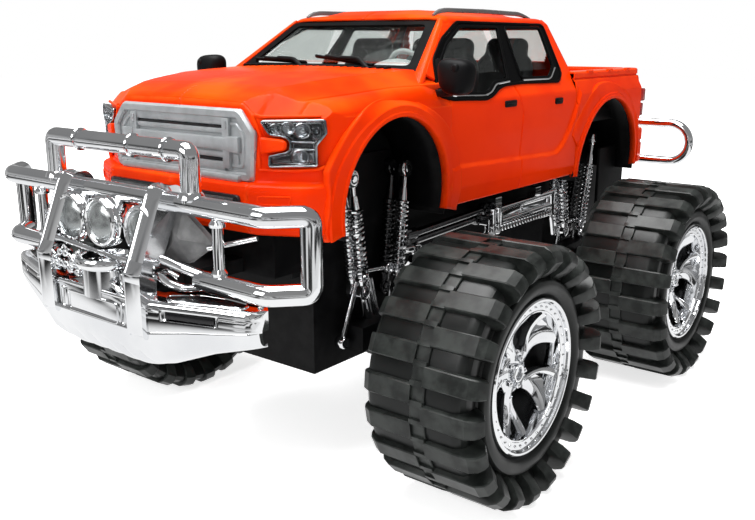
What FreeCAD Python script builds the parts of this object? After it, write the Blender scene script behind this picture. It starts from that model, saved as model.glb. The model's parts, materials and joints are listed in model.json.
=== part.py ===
"""Toy monster truck: a crew-cab pickup body on a raised black frame, with a chromed bull bar,
chromed shocks and large lugged wheels that turn freely on fixed axle rods.

Frame: millimetres, +Z up, the front faces -Y and the truck's left side is +X. The origin lies on
the floor under the middle of the whole truck. Lengths along the truck are counted from the front
axle, and heights of the body from its sill, so that both follow the wheels.
"""
import FreeCAD, Part
import math
import os
from collections import namedtuple

V = FreeCAD.Vector

# ---- driving dimensions ------------------------------------------------------------------
TYRE_RADIUS = 57.0
TYRE_WIDTH = 57.0
TYRE_INNER_X = 80.5           # inner shoulder of a tyre, from the centre plane
WHEELBASE = 190.0
FRONT_REACH = 129.0           # front axle to the foremost face of the bull bar
REAR_REACH = 87.0             # rear axle to the rearmost face of the rear loop
RIM_RADIUS = 34.5             # also the tyre's bore
RIM_WALL = 2.5
RIM_INSET = 6.5               # outer face of the rim lip, inside the tyre's outer face
AXLE_RADIUS = 2.5
AXLE_CLEARANCE = 0.05         # radial running clearance of a wheel on its rod
WHEEL_GAP = 3.0               # between a tyre and what carries it
BODY_HALF = 70.0              # half width of the body at its widest
SILL_ABOVE_AXLE = 63.0
BODY_WALL = 2.0
SEAT = 0.3                    # assembly gap of pieces that are clipped together
ROOF_ABOVE_SILL = 88.0
BELT_ABOVE_SILL = 58.5        # lower edge of the side windows
TUB_ABOVE_SILL = 26.0         # underside of the cabin floor and of the load bed
CHASSIS_HALF = 44.0
RAIL_HEIGHT = 20.0
GEARBOX_BELOW_AXLE = 6.5
SHOCK_X = 54.0
SHOCK_RADIUS = 5.5
TUBE_RADIUS = 3.2             # bull bar tubes
LOOP_TUBE_RADIUS = 2.8        # rear loop tube

# ---- places worked out from them ---------------------------------------------------------
FRONT_Y = -(WHEELBASE + REAR_REACH - FRONT_REACH) / 2.0
REAR_Y = FRONT_Y + WHEELBASE
AXLE_Z = TYRE_RADIUS
SILL_Z = AXLE_Z + SILL_ABOVE_AXLE
TUB_Z = SILL_Z + TUB_ABOVE_SILL
ROOF_Z = SILL_Z + ROOF_ABOVE_SILL
TYRE_OUTER_X = TYRE_INNER_X + TYRE_WIDTH
CARRIER_X = TYRE_INNER_X - WHEEL_GAP
LEFT, RIGHT = 1, -1


def y_at(from_front_axle):
    """Row Y of a place counted backwards from the front axle."""
    return FRONT_Y + from_front_axle


def y_rear(from_rear_axle):
    """Row Y of a place counted backwards from the rear axle."""
    return REAR_Y + from_rear_axle


def z_at(above_sill):
    """Row Z of a place counted upwards from the sill."""
    return SILL_Z + above_sill


# ---- shape helpers -----------------------------------------------------------------------
def block(x, y, z):
    """A box from its (low, high) pairs along X, Y and Z."""
    return Part.makeBox(x[1] - x[0], y[1] - y[0], z[1] - z[0], V(x[0], y[0], z[0]))


def face_of(corners):
    """A flat face bounded by straight lines through the corners."""
    return Part.Face(Part.makePolygon(corners + corners[:1]))


def prism_x(outline, low, high):
    """A (y, z) outline carried from x = low to x = high."""
    return face_of([V(low, y, z) for y, z in outline]).extrude(V(high - low, 0, 0))


def prism_y(outline, low, high):
    """An (x, z) outline carried from y = low to y = high."""
    return face_of([V(x, low, z) for x, z in outline]).extrude(V(0, high - low, 0))


def prism_z(outline, low, high):
    """An (x, y) outline carried from z = low to z = high."""
    return face_of([V(x, y, low) for x, y in outline]).extrude(V(0, 0, high - low))


def mirrored(half):
    """A closed outline, symmetric in its first coordinate, from its right half, low to high."""
    return half + [(-a, b) for a, b in reversed(half) if a > 0]


def inset(outline, distance):
    """The outline with every side moved inwards by the distance."""
    points = [V(a, b, 0) for a, b in outline]
    area = sum(p.x * q.y - q.x * p.y for p, q in zip(points, points[1:] + points[:1]))
    turn = 1.0 if area > 0 else -1.0
    moved = []
    for before, here, after in zip(points[-1:] + points[:-1], points, points[1:] + points[:1]):
        along_in, along_out = (here - before).normalize(), (after - here).normalize()
        normals = V(-along_in.y, along_in.x, 0) * turn, V(-along_out.y, along_out.x, 0) * turn
        share = distance / (1.0 + normals[0].dot(normals[1]))
        place = here + (normals[0] + normals[1]) * share
        moved.append((place.x, place.y))
    return moved


def rod(start, end, radius):
    """A round bar between two points."""
    return Part.makeCylinder(radius, (end - start).Length, start, end - start)


def tube_path(points, radius):
    """Round bar through the points, with a ball at each inner corner."""
    shape = rod(points[0], points[1], radius)
    for start, end in zip(points[1:], points[2:]):
        shape = shape.fuse([Part.makeSphere(radius, start), rod(start, end, radius)])
    return shape.removeSplitter()


def turned(profile, y, side):
    """A (x, radius) profile revolved about the axle line at this y, on one side of the truck."""
    face = face_of([V(x, 0, r) for x, r in profile])
    shape = face.revolve(V(0, 0, 0), V(1, 0, 0), 360)
    if side == RIGHT:
        shape = shape.mirror(V(0, 0, 0), V(1, 0, 0))
    return shape.translated(V(0, y, AXLE_Z))


def flipped(shape):
    """The same piece on the other side of the centre plane."""
    return shape.mirror(V(0, 0, 0), V(1, 0, 0))


def pair(shape):
    """A piece and its copy on the other side, which don't touch."""
    return Part.makeCompound([shape, flipped(shape)])


# ---- body outlines -----------------------------------------------------------------------
# half section across the body: x, height above the sill
LOWER_SECTION = [(0, 0), (BODY_HALF - 3, 0), (BODY_HALF, 28), (BODY_HALF - 1.5, 50),
                 (BODY_HALF - 7, BELT_ABOVE_SILL), (BODY_HALF - 26, BELT_ABOVE_SILL + 4),
                 (0, BELT_ABOVE_SILL + 6)]
CAB_SECTION = LOWER_SECTION[:5] + [(BODY_HALF - 20, ROOF_ABOVE_SILL - 4),
                                   (BODY_HALF - 28, ROOF_ABOVE_SILL - 0.5), (0, ROOF_ABOVE_SILL)]
# nose seen from above: x, distance behind the front axle
NOSE_PLAN = [(0, -73), (44, -73), (58, -67), (BODY_HALF + 1, -59), (BODY_HALF + 1, 60), (0, 60)]
BUMPER_PLAN = [(0, -82), (44, -80), (64, -70), (BODY_HALF, -60), (BODY_HALF, -50), (0, -50)]
DOOR_FRONT = 24.0             # split between the front wings and the cab, behind the front axle
SCREEN_FOOT = 14.0
SCREEN_HEAD = 46.0
CAB_BACK = -26.0              # rear wall of the cab, counted from the rear axle
TAIL = 58.0                   # tailgate, counted from the rear axle
BUMPER_HEIGHT = 20.0
FLARE = 3.5                   # how far the wheel arch flares stand out
FLARE_ROOT = 3.4              # how far the flares reach into the wall behind them
FLARE_WIDTH = 12.0
# wheel arches: centre y, height of the centre above the sill, radius
Arch = namedtuple("Arch", "y height radius")
FRONT_ARCH = Arch(y_at(-16.4), 8.0, 36.4)
REAR_ARCH = Arch(y_rear(10.0), -1.0, 42.2)
ARCH_DEPTH = 16.0             # how far in from the side the arch cuts reach
CLEAR = 10.0                  # how far a cut runs past the faces it opens
BOSS_RADIUS = 4.0             # bonnet bosses, which stand on the front tower
BOSS_X = 30.0
BOSS_Y = y_at(-20)
LAMP_LOW, LAMP_HIGH = 23.0, 45.0      # headlight, above the sill
LAMP_DEPTH = 6.0
BED_FLOOR = 2.0
BED_SKIN_X = BODY_HALF - 9    # inside of the wheel space below the bed
BED_HALF = BED_SKIN_X - 7     # half width of the open tray


def raised(outline):
    """A section's outline with its heights counted from the floor."""
    return [(x, z_at(z)) for x, z in outline]


LOWER_SECTION_RAISED = raised(LOWER_SECTION)
CAB_SECTION_RAISED = raised(CAB_SECTION)


def hood_side():
    """Side view of the bonnet, wings and nose."""
    return [(y_at(-73), z_at(0)), (y_at(DOOR_FRONT), z_at(0)),
            (y_at(DOOR_FRONT), z_at(BELT_ABOVE_SILL)),
            (y_at(SCREEN_FOOT), z_at(BELT_ABOVE_SILL + 4.5)),
            (y_at(-35), z_at(BELT_ABOVE_SILL + 1)), (y_at(-66), z_at(BELT_ABOVE_SILL - 6)),
            (y_at(-73), z_at(BELT_ABOVE_SILL - 11))]


def cab_side():
    """Side view of the cab, from the scuttle over the roof to the rear wall."""
    return [(y_at(DOOR_FRONT), z_at(0)), (y_rear(CAB_BACK), z_at(0)),
            (y_rear(CAB_BACK), z_at(BELT_ABOVE_SILL)),
            (y_rear(CAB_BACK - 11), z_at(ROOF_ABOVE_SILL - 3)),
            (y_rear(CAB_BACK - 16), z_at(ROOF_ABOVE_SILL)),
            (y_at(SCREEN_HEAD + 10), z_at(ROOF_ABOVE_SILL)),
            (y_at(SCREEN_HEAD), z_at(ROOF_ABOVE_SILL - 3)),
            (y_at(SCREEN_FOOT), z_at(BELT_ABOVE_SILL + 4.5)),
            (y_at(DOOR_FRONT), z_at(BELT_ABOVE_SILL))]


def bed_side():
    """Side view of the load bed."""
    return [(y_rear(CAB_BACK), z_at(0)), (y_rear(TAIL - 1), z_at(-4)),
            (y_rear(TAIL), z_at(BELT_ABOVE_SILL - 1)), (y_rear(CAB_BACK), z_at(BELT_ABOVE_SILL))]


def crossed(side, section, wall):
    """What the side view and the cross section have in common, each drawn in by the wall."""
    widest = BODY_HALF + 10
    ends = [y for y, z in side]
    lengthwise = prism_x(inset(side, wall), -widest, widest)
    return lengthwise.common(prism_y(inset(mirrored(section), wall), min(ends), max(ends)))


def arch_cut(arch, side):
    """The space of one wheel arch, reaching in from one side of the body."""
    inner, outer = BODY_HALF - ARCH_DEPTH, BODY_HALF + FLARE + CLEAR
    centre = V(inner, arch.y, z_at(arch.height))
    cut = Part.makeCylinder(arch.radius, outer - inner, centre, V(1, 0, 0))
    below = block((inner, outer), (arch.y - arch.radius, arch.y + arch.radius),
                  (z_at(-CLEAR), z_at(arch.height)))
    shape = cut.fuse(below)
    return shape if side == LEFT else flipped(shape)


def flare(arch, low, high):
    """The raised lip round one arch, between two places along the truck, on the left side."""
    start, depth = BODY_HALF - FLARE_ROOT, FLARE_ROOT + FLARE
    reach = arch.radius + FLARE_WIDTH
    ring = Part.makeCylinder(reach, depth, V(start, arch.y, z_at(arch.height)), V(1, 0, 0))
    legs = block((start, start + depth), (arch.y - reach, arch.y + reach),
                 (z_at(0), z_at(max(arch.height, 1))))
    band = ring.fuse(legs).common(block((start, start + depth), (low, high), (z_at(0), ROOF_Z)))
    return band.cut(arch_cut(arch, LEFT))


def front_body():
    """Bonnet, front wings and bumper skin in one moulding, open below and behind."""
    outer = crossed(hood_side(), LOWER_SECTION_RAISED, 0)
    inner = crossed(hood_side(), LOWER_SECTION_RAISED, BODY_WALL)
    plan = mirrored([(x, y_at(y)) for x, y in NOSE_PLAN])
    outer = outer.common(prism_z(plan, z_at(-5), ROOF_Z))
    inner = inner.common(prism_z(inset(plan, BODY_WALL), z_at(-5), ROOF_Z))
    bumper_plan = mirrored([(x, y_at(y)) for x, y in BUMPER_PLAN])
    bumper = prism_z(bumper_plan, z_at(0), z_at(BUMPER_HEIGHT))
    bumper_inside = prism_z(inset(bumper_plan, BODY_WALL), z_at(-1), z_at(BUMPER_HEIGHT - BODY_WALL))
    open_below = block((-BODY_HALF + 5, BODY_HALF - 5), (y_at(-60), y_at(DOOR_FRONT)),
                       (z_at(-1), z_at(BODY_WALL + 1)))
    open_behind = prism_y(inset(mirrored(LOWER_SECTION_RAISED), BODY_WALL),
                          y_at(DOOR_FRONT - 5), y_at(DOOR_FRONT + 1))
    shell = outer.fuse(bumper).cut([inner, bumper_inside, open_below, open_behind])
    lip = flare(FRONT_ARCH, y_at(NOSE_PLAN[3][1] + 1), y_at(DOOR_FRONT))
    shell = shell.fuse([lip, flipped(lip)])
    shell = shell.cut([arch_cut(FRONT_ARCH, side) for side in (LEFT, RIGHT)])
    bosses = [rod(V(x, BOSS_Y, TUB_Z + SEAT), V(x, BOSS_Y, z_at(BELT_ABOVE_SILL)), BOSS_RADIUS)
              for x in (-BOSS_X, BOSS_X)]
    lamps = [headlight_space(), flipped(headlight_space())]
    return shell.fuse(bosses).cut(lamps).removeSplitter()


def headlight_space():
    """The left headlight's block, which wraps round the corner of the nose."""
    front = [(x, y_at(y)) for x, y in NOSE_PLAN[1:4]]
    back = [(x - 1, y + LAMP_DEPTH) for x, y in reversed(front)]
    lamp = prism_z(front + back, z_at(LAMP_LOW), z_at(LAMP_HIGH))
    return lamp.common(prism_y(mirrored(LOWER_SECTION_RAISED), y_at(-90), y_at(0)))


# side windows: name, outline as (y, z) with z above the sill
WINDOW_LOW = BELT_ABOVE_SILL + 1.5
WINDOW_HIGH = ROOF_ABOVE_SILL - 6.5
PILLAR_Y = y_at(85.0)          # middle of the pillar between the side windows
PILLAR = 4.0                   # half its width
FRONT_WINDOW = [(y_at(SCREEN_FOOT + 12), WINDOW_LOW), (PILLAR_Y - PILLAR, WINDOW_LOW),
                (PILLAR_Y - PILLAR, WINDOW_HIGH), (y_at(SCREEN_HEAD + 6), WINDOW_HIGH)]
REAR_WINDOW = [(PILLAR_Y + PILLAR, WINDOW_LOW), (y_rear(CAB_BACK - 8), WINDOW_LOW),
               (y_rear(CAB_BACK - 15), WINDOW_HIGH), (PILLAR_Y + PILLAR, WINDOW_HIGH)]
SCREEN = [(0, BELT_ABOVE_SILL + 6.5), (BODY_HALF - 17, BELT_ABOVE_SILL + 6.5),
          (BODY_HALF - 26, ROOF_ABOVE_SILL - 5), (0, ROOF_ABOVE_SILL - 5)]
BACK_GLASS = [(0, BELT_ABOVE_SILL + 3), (BODY_HALF - 18, BELT_ABOVE_SILL + 3),
              (BODY_HALF - 26, ROOF_ABOVE_SILL - 6), (0, ROOF_ABOVE_SILL - 6)]


def window_hole(name):
    """The space that a window's opening takes out of the cab's walls."""
    if name in ("front", "rear"):
        outline = FRONT_WINDOW if name == "front" else REAR_WINDOW
        return prism_x([(y, z_at(z)) for y, z in outline], 30, BODY_HALF + 5)
    if name == "screen":
        return prism_y(mirrored(raised(SCREEN)), y_at(SCREEN_FOOT - 8), y_at(SCREEN_HEAD + 8))
    return prism_y(mirrored(raised(BACK_GLASS)), y_rear(CAB_BACK - 16), y_rear(CAB_BACK + 2))


def cab_wall():
    """The cab's hollow wall before its windows are cut, open below and towards the bonnet."""
    outer = crossed(cab_side(), CAB_SECTION_RAISED, 0)
    inner = crossed(cab_side(), CAB_SECTION_RAISED, BODY_WALL)
    open_below = block((-BODY_HALF + 5, BODY_HALF - 5), (y_at(DOOR_FRONT - 1), y_rear(CAB_BACK - 2)),
                       (z_at(-1), z_at(BODY_WALL + 1)))
    open_front = prism_y(inset(mirrored(LOWER_SECTION_RAISED), BODY_WALL + 1),
                         y_at(SCREEN_FOOT - 1), y_at(DOOR_FRONT + 4))
    below_scuttle = block((-BODY_HALF, BODY_HALF), (y_at(SCREEN_FOOT), y_at(DOOR_FRONT + 4)),
                          (z_at(0), z_at(BELT_ABOVE_SILL + 1)))
    return outer.cut([inner, open_below, open_front.common(below_scuttle)])


def cab_shell():
    """Doors, pillars, roof and rear wall in one moulding with its windows cut."""
    holes = [window_hole("screen"), window_hole("back")]
    for name in ("front", "rear"):
        holes += [window_hole(name), flipped(window_hole(name))]
    shell = cab_wall()
    lip = flare(REAR_ARCH, y_rear(CAB_BACK - 40), y_rear(CAB_BACK))
    shell = shell.fuse([lip, flipped(lip)])
    arches = [arch_cut(REAR_ARCH, side) for side in (LEFT, RIGHT)]
    return shell.cut(holes + arches + [tower_tunnel()]).removeSplitter()


def tower_tunnel():
    """Clear way for the frame's rear tower through the walls on either side of the cab's back."""
    half = CHASSIS_HALF + SEAT
    return block((-half, half), (y_rear(CAB_BACK) - 8, y_rear(CAB_BACK) + 8), (z_at(-15), TUB_Z))


def load_bed():
    """Open load bed with double side walls, its tailgate and the rear wings."""
    outer = crossed(bed_side(), LOWER_SECTION_RAISED, 0)
    front, back = y_rear(CAB_BACK) + BODY_WALL, y_rear(TAIL) - BODY_WALL - 1
    tray = block((-BED_HALF, BED_HALF), (front, back), (TUB_Z + BED_FLOOR, ROOF_Z))
    below = block((-BED_SKIN_X, BED_SKIN_X), (front, back), (z_at(-10), TUB_Z))
    hollow = crossed(bed_side(), LOWER_SECTION_RAISED, BODY_WALL)
    sides = hollow.common(block((BED_HALF + BODY_WALL, BODY_HALF), (front, back),
                                (z_at(-10), z_at(BELT_ABOVE_SILL - 4))))
    shell = outer.cut([tray, below, sides, flipped(sides)])
    low_rear = block((-BED_SKIN_X + 6, BED_SKIN_X - 6), (back - 1, back + 8), (z_at(-10), z_at(12)))
    lip = flare(REAR_ARCH, y_rear(CAB_BACK), y_rear(TAIL - 1.5))
    arches = [arch_cut(REAR_ARCH, side) for side in (LEFT, RIGHT)]
    return shell.fuse([lip, flipped(lip)]).cut(arches + [low_rear, tower_tunnel()]).removeSplitter()


REAR_BUMPER_LOW, REAR_BUMPER_TOP = -4.0, 19.0     # above the sill
REAR_BUMPER_DEPTH = 18.0
# rear bumper seen from above: x, distance behind the tailgate
REAR_BUMPER_PLAN = [(0, 0), (BODY_HALF, 0), (BODY_HALF, 14), (BODY_HALF - 4, REAR_BUMPER_DEPTH),
                    (0, REAR_BUMPER_DEPTH)]


def rear_bumper():
    """Rear bumper moulding below the tailgate, open below."""
    plan = mirrored([(x, y_rear(TAIL) + y) for x, y in REAR_BUMPER_PLAN])
    outer = prism_z(plan, z_at(REAR_BUMPER_LOW), z_at(REAR_BUMPER_TOP))
    hollow = prism_z(inset(plan, BODY_WALL), z_at(REAR_BUMPER_LOW - CLEAR),
                     z_at(REAR_BUMPER_TOP - BODY_WALL))
    return outer.cut(hollow)


# ---- body trim and glass -----------------------------------------------------------------
GLASS = 1.2
GRILLE_DEPTH = 4.0
GRILLE_HALF = [(0, 21.5), (36, 21.5), (41, 25), (43, 40), (37.5, 49), (0, 49)]
GRILLE_FRAME = 5.0
GRILLE_BAR_SET_BACK = 0.8
GRILLE_BARS = [(29.5, 2.2), (35.2, 2.2), (40.8, 2.2)]    # height above the sill, thickness
MIRROR = [(-3, -7), (15, -6), (17, 2), (12, 7), (-1, 6)]    # (x, z) outline about its stalk
WIPER_LENGTH = 26.0
WIPERS_X = (-40.0, 8.0)
RAIL_RISE = 3.5               # roof rails above the roof
TAIL_LIGHT_DEPTH = 7.0
TAIL_LIGHT_LOW, TAIL_LIGHT_HIGH = 25.0, 45.0


def pane(name):
    """A window pane that fills its opening, flush with the inside of the wall."""
    outer = crossed(cab_side(), CAB_SECTION_RAISED, BODY_WALL - GLASS)
    inner = crossed(cab_side(), CAB_SECTION_RAISED, BODY_WALL)
    return outer.common(window_hole(name)).cut(inner)


def side_glass():
    """The two panes of the left side."""
    return Part.makeCompound([pane("front"), pane("rear")])


def grille():
    """Eight-sided grille frame with three cross bars and a thin back plate."""
    outline = mirrored(raised(GRILLE_HALF))
    front, back = y_at(NOSE_PLAN[0][1]) - GRILLE_DEPTH, y_at(NOSE_PLAN[0][1])
    plate = prism_y(outline, front, back)
    recess = prism_y(inset(outline, GRILLE_FRAME), front - 1, back - 1)
    bars = [block((-BODY_HALF, BODY_HALF), (front + GRILLE_BAR_SET_BACK, back),
                  (z_at(z - t / 2), z_at(z + t / 2)))
            for z, t in GRILLE_BARS]
    return plate.cut(recess).fuse([bar.common(plate) for bar in bars]).removeSplitter()


def cowl():
    """Dark plenum strip at the foot of the windscreen, with the two parked wipers."""
    top = z_at(BELT_ABOVE_SILL + 5)
    y = y_at(SCREEN_FOOT)
    strip = block((-BODY_HALF + 18, BODY_HALF - 18), (y - 9, y - 1), (top, top + 1.6))
    blades = [rod(V(x, y - 5, top + 1), V(x + WIPER_LENGTH, y - 3, top + 2), 1.0)
              for x in WIPERS_X]
    return strip.fuse(blades).removeSplitter()


def door_mirror():
    """Left door mirror, a blunt pod on a short stalk."""
    z, y = z_at(BELT_ABOVE_SILL + 6), y_at(DOOR_FRONT + 11)
    foot = BODY_HALF - 7.7
    pod = prism_y([(foot + 5 + x, z + h) for x, h in MIRROR], y - 5, y + 5)
    stalk = block((foot, foot + 6), (y - 3, y + 3), (z - 6, z - 1))
    return pod.fuse(stalk).cut(cab_wall()).removeSplitter()


def roof_rail():
    """Left roof rail, a low strip along the edge of the roof."""
    x = BODY_HALF - 29
    return block((x - 2, x + 1), (y_at(SCREEN_HEAD + 16), y_rear(CAB_BACK - 18)),
                 (ROOF_Z + 0.1, ROOF_Z + RAIL_RISE))


def tail_light():
    """Left tail light, a tall lens on the rear corner of the bed."""
    return block((BODY_HALF - 9, BODY_HALF + 1), (y_rear(TAIL), y_rear(TAIL) + TAIL_LIGHT_DEPTH),
                 (z_at(TAIL_LIGHT_LOW), z_at(TAIL_LIGHT_HIGH)))


# ---- cabin -------------------------------------------------------------------------------
TUB_SIDE = 12.0               # top of the tub's walls, below the belt line
SEAT_GAP = 7.0                # half the gap between two seats
SEAT_REACH = BODY_HALF - 23.0         # outer side of a seat
SEAT_HALF = (SEAT_REACH - SEAT_GAP) / 2
SEAT_X = (SEAT_REACH + SEAT_GAP) / 2
FRONT_SEAT_Y = y_at(52.0)
REAR_SEAT_Y = y_rear(CAB_BACK - 53.0)
FRONT_SEAT_TOP, REAR_SEAT_TOP = 80.0, 78.0    # above the sill
WHEEL_RING = 11.0             # steering wheel radius


def cabin_tub():
    """Cabin floor with low side walls and a rear bulkhead, which closes the cab from below."""
    half = BODY_HALF - BODY_WALL - 1.5 - SEAT
    front, back = y_at(DOOR_FRONT + 2), y_rear(CAB_BACK) - BODY_WALL - SEAT
    floor = block((-half, half), (front, back), (TUB_Z, TUB_Z + 2))
    wall = block((half - 6, half), (front, back), (TUB_Z, z_at(BELT_ABOVE_SILL - TUB_SIDE)))
    rear = block((-half, half), (back - 2, back), (TUB_Z, z_at(BELT_ABOVE_SILL - TUB_SIDE)))
    return floor.fuse([wall, flipped(wall), rear]).removeSplitter()


def dashboard():
    """Dashboard across the cabin below the windscreen."""
    half = BODY_HALF - BODY_WALL - 8
    top = z_at(BELT_ABOVE_SILL + 1)
    y = y_at(DOOR_FRONT + 4)
    side = [(y, TUB_Z + 2), (y + 10, TUB_Z + 2), (y + 18, top - 8), (y + 12, top), (y, top)]
    return prism_x(side, -half, half)


def seat(x, y, half, high):
    """A bucket or bench seat: cushion, raked back and headrest in one moulding."""
    low = TUB_Z + 2
    side = [(y, low), (y + 30, low), (y + 38, z_at(high - 10)), (y + 32, z_at(high - 10)),
            (y + 22, low + 10), (y, low + 9)]
    head = block((x - 8, x + 8), (y + 32, y + 38), (z_at(high - 10), z_at(high)))
    return prism_x(side, x - half, x + half).fuse(head).removeSplitter()


def steering_wheel():
    """Steering wheel on its column, on the truck's left."""
    y, z = y_at(DOOR_FRONT + 26), z_at(BELT_ABOVE_SILL - 1)
    lean = V(0, -0.9, -0.42).normalize()
    hub = V(SEAT_X, y, z)
    ring = Part.makeTorus(WHEEL_RING, 1.4, hub, lean)
    disc = Part.makeCylinder(WHEEL_RING, 1.6, hub - lean * 0.8, lean)
    spokes = disc.common(block((SEAT_X - WHEEL_RING, SEAT_X + WHEEL_RING), (y - WHEEL_RING, y + WHEEL_RING),
                                (z - 3, z + 3)))
    column = rod(hub, hub + lean * 14, 2.2).cut(dashboard())
    return ring.fuse([spokes, column]).removeSplitter()


# ---- running gear ------------------------------------------------------------------------
RAIL_WIDTH = 9.0
RAIL_TOP = 2.0                # above the sill
RAIL_FRONT = -66.0            # counted from the front axle
RAIL_BACK = 42.0              # counted from the rear axle
TOWER_FOOT = -8.0             # underside of the towers, above the sill
TONGUE_HALF = 25.0            # bracket from the front cross member to the skid plate
GEARBOX_BOTTOM = AXLE_Z - GEARBOX_BELOW_AXLE
RAIL_BOTTOM = SILL_Z - RAIL_HEIGHT
# gearboxes: name, axle y, front face and rear face counted from the axle
Gearbox = namedtuple("Gearbox", "name axle_y front back")
GEARBOXES = [Gearbox("front_gearbox", FRONT_Y, -43.0, 18.0),
             Gearbox("rear_gearbox", REAR_Y, -20.0, 38.0)]
# towers on the rails that carry the body: front face, rear face
TOWERS = [(y_at(-45), y_at(12)), (y_at(19), y_at(45)), (y_rear(-30), y_rear(38))]
SHOCK_TOP = 20.0              # height of the shocks' upper eyes above the sill
SHOCK_PIN = 2.0
# shocks: y at the top and at the foot, counted from the axle
Shock = namedtuple("Shock", "top foot")
FRONT_SHOCKS = [Shock(-26.0, -20.0), Shock(9.0, 11.0)]
REAR_SHOCKS = [Shock(-14.0, -10.0), Shock(24.0, 20.0)]
AXLE_TUBE = 9.0
AXLE_BORE = AXLE_RADIUS + 0.02
CARRIER_FRONT = -27.0
CARRIER_BACK = 27.0
CARRIER_TOP = 14.0            # above the axle
KNUCKLE_HALF = 5.0
ROD_INSET = 14.0              # end of an axle rod, inside the rim's outer lip
EYE_RADIUS = 4.6
DAMPER_RADIUS = 2.3
SLEEVE = (0.22, 0.74)         # coil's ends, as shares of the way from the eye to the foot
SIDE_FRAME_X = (CHASSIS_HALF, SHOCK_X + 4.0)
SIDE_FRAME_FRONT = y_at(77)
SIDE_FRAME_BACK = y_rear(-34)
SIDE_FRAME_Z = (-23.0, -11.0)         # above the sill
LINK_RADIUS = 2.0
LINK_FRONT = y_at(16)
LINK_HEIGHT = -14.0


def chassis_frame():
    """Ladder frame: two side rails, the towers that carry the body, and pins for the shocks."""
    inner = CHASSIS_HALF - RAIL_WIDTH
    rail = block((inner, CHASSIS_HALF), (y_at(RAIL_FRONT), y_rear(RAIL_BACK)),
                 (RAIL_BOTTOM, z_at(RAIL_TOP)))
    shape = rail.fuse(flipped(rail))
    for front, back in TOWERS:
        shape = shape.fuse(block((-CHASSIS_HALF, CHASSIS_HALF), (front, back), (z_at(TOWER_FOOT), TUB_Z)))
    cross = block((-inner, inner), (y_at(RAIL_FRONT), y_at(RAIL_FRONT + 8)),
                  (RAIL_BOTTOM, z_at(RAIL_TOP)))
    tongue = block((-TONGUE_HALF, TONGUE_HALF), (y_at(-98), y_at(RAIL_FRONT)),
                   (z_at(SKID_TOP), z_at(SKID_TOP + 6)))
    pins = []
    for axle_y, shocks in ((FRONT_Y, FRONT_SHOCKS), (REAR_Y, REAR_SHOCKS)):
        for top, foot in shocks:
            root = V(CHASSIS_HALF - 1, axle_y + top, z_at(SHOCK_TOP))
            tip = V(SHOCK_X - SHOCK_RADIUS, axle_y + top, z_at(SHOCK_TOP))
            pins += [rod(root, tip, SHOCK_PIN), flipped(rod(root, tip, SHOCK_PIN))]
    return shape.fuse([cross, tongue] + pins).removeSplitter()


def gearbox(box):
    """Gearbox housing under the frame, bored through for its axle rod."""
    y, end = box.axle_y, CHASSIS_HALF + 1
    shape = block((-CHASSIS_HALF, CHASSIS_HALF), (y + box.front, y + box.back),
                  (GEARBOX_BOTTOM, RAIL_BOTTOM))
    return shape.cut(rod(V(-end, y, AXLE_Z), V(end, y, AXLE_Z), AXLE_BORE))


def axle_carriers(axle_y):
    """The pair of axle tubes with the knuckles that hold the shocks' feet and guide the rod."""
    tube = rod(V(CHASSIS_HALF, axle_y, AXLE_Z), V(CARRIER_X, axle_y, AXLE_Z), AXLE_TUBE)
    knuckle = block((SHOCK_X - KNUCKLE_HALF, SHOCK_X + KNUCKLE_HALF),
                    (axle_y + CARRIER_FRONT, axle_y + CARRIER_BACK),
                    (AXLE_Z + 3, AXLE_Z + CARRIER_TOP))
    bore = rod(V(CHASSIS_HALF - 1, axle_y, AXLE_Z), V(CARRIER_X + 1, axle_y, AXLE_Z), AXLE_BORE)
    return pair(tube.fuse(knuckle).cut(bore).removeSplitter())


def axle_rod(axle_y):
    """Steel rod right across the truck that both wheels of an axle turn on."""
    end = TYRE_OUTER_X - RIM_INSET - ROD_INSET
    return rod(V(-end, axle_y, AXLE_Z), V(end, axle_y, AXLE_Z), AXLE_RADIUS)


def shock(axle_y, top, foot):
    """Left shock: upper eye, damper, coil sleeve and the forked foot."""
    high = V(SHOCK_X, axle_y + top, z_at(SHOCK_TOP))
    low = V(SHOCK_X, axle_y + foot, AXLE_Z + CARRIER_TOP)
    along = low - high
    eye = Part.makeCylinder(EYE_RADIUS, 5.0, high - V(SHOCK_RADIUS, 0, 0), V(1, 0, 0))
    damper = rod(high, low, DAMPER_RADIUS)
    sleeve = rod(high + along * SLEEVE[0], high + along * SLEEVE[1], SHOCK_RADIUS)
    hole = rod(high - V(9, 0, 0), high + V(-SHOCK_RADIUS + 0.01, 0, 0), SHOCK_PIN)
    collar = block((SHOCK_X - 3, SHOCK_X + 3), (axle_y + foot - 9, axle_y + foot + 9),
                   (AXLE_Z + CARRIER_TOP, AXLE_Z + CARRIER_TOP + 3))
    below = block((SHOCK_X - 9, SHOCK_X + 9), (axle_y + foot - 12, axle_y + foot + 12),
                  (AXLE_Z, AXLE_Z + CARRIER_TOP))
    return eye.fuse([damper, sleeve, collar]).cut([hole, below]).removeSplitter()


def corner_shocks(axle_y, shocks, side):
    """The two shocks of one corner."""
    made = [shock(axle_y, top, foot) for top, foot in shocks]
    return Part.makeCompound(made if side == LEFT else [flipped(one) for one in made])


def side_frame():
    """Left chromed side frame below the cab, a slotted beam with a ribbed lower edge."""
    low, high = z_at(SIDE_FRAME_Z[0]), z_at(SIDE_FRAME_Z[1])
    outer = SIDE_FRAME_X[1]
    beam = block(SIDE_FRAME_X, (SIDE_FRAME_FRONT, SIDE_FRAME_BACK), (low, high))
    slot = block((outer - 3, outer + 1), (SIDE_FRAME_FRONT + 26, SIDE_FRAME_BACK - 8),
                 (low + 4, high - 4))
    return beam.cut(slot)


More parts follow.
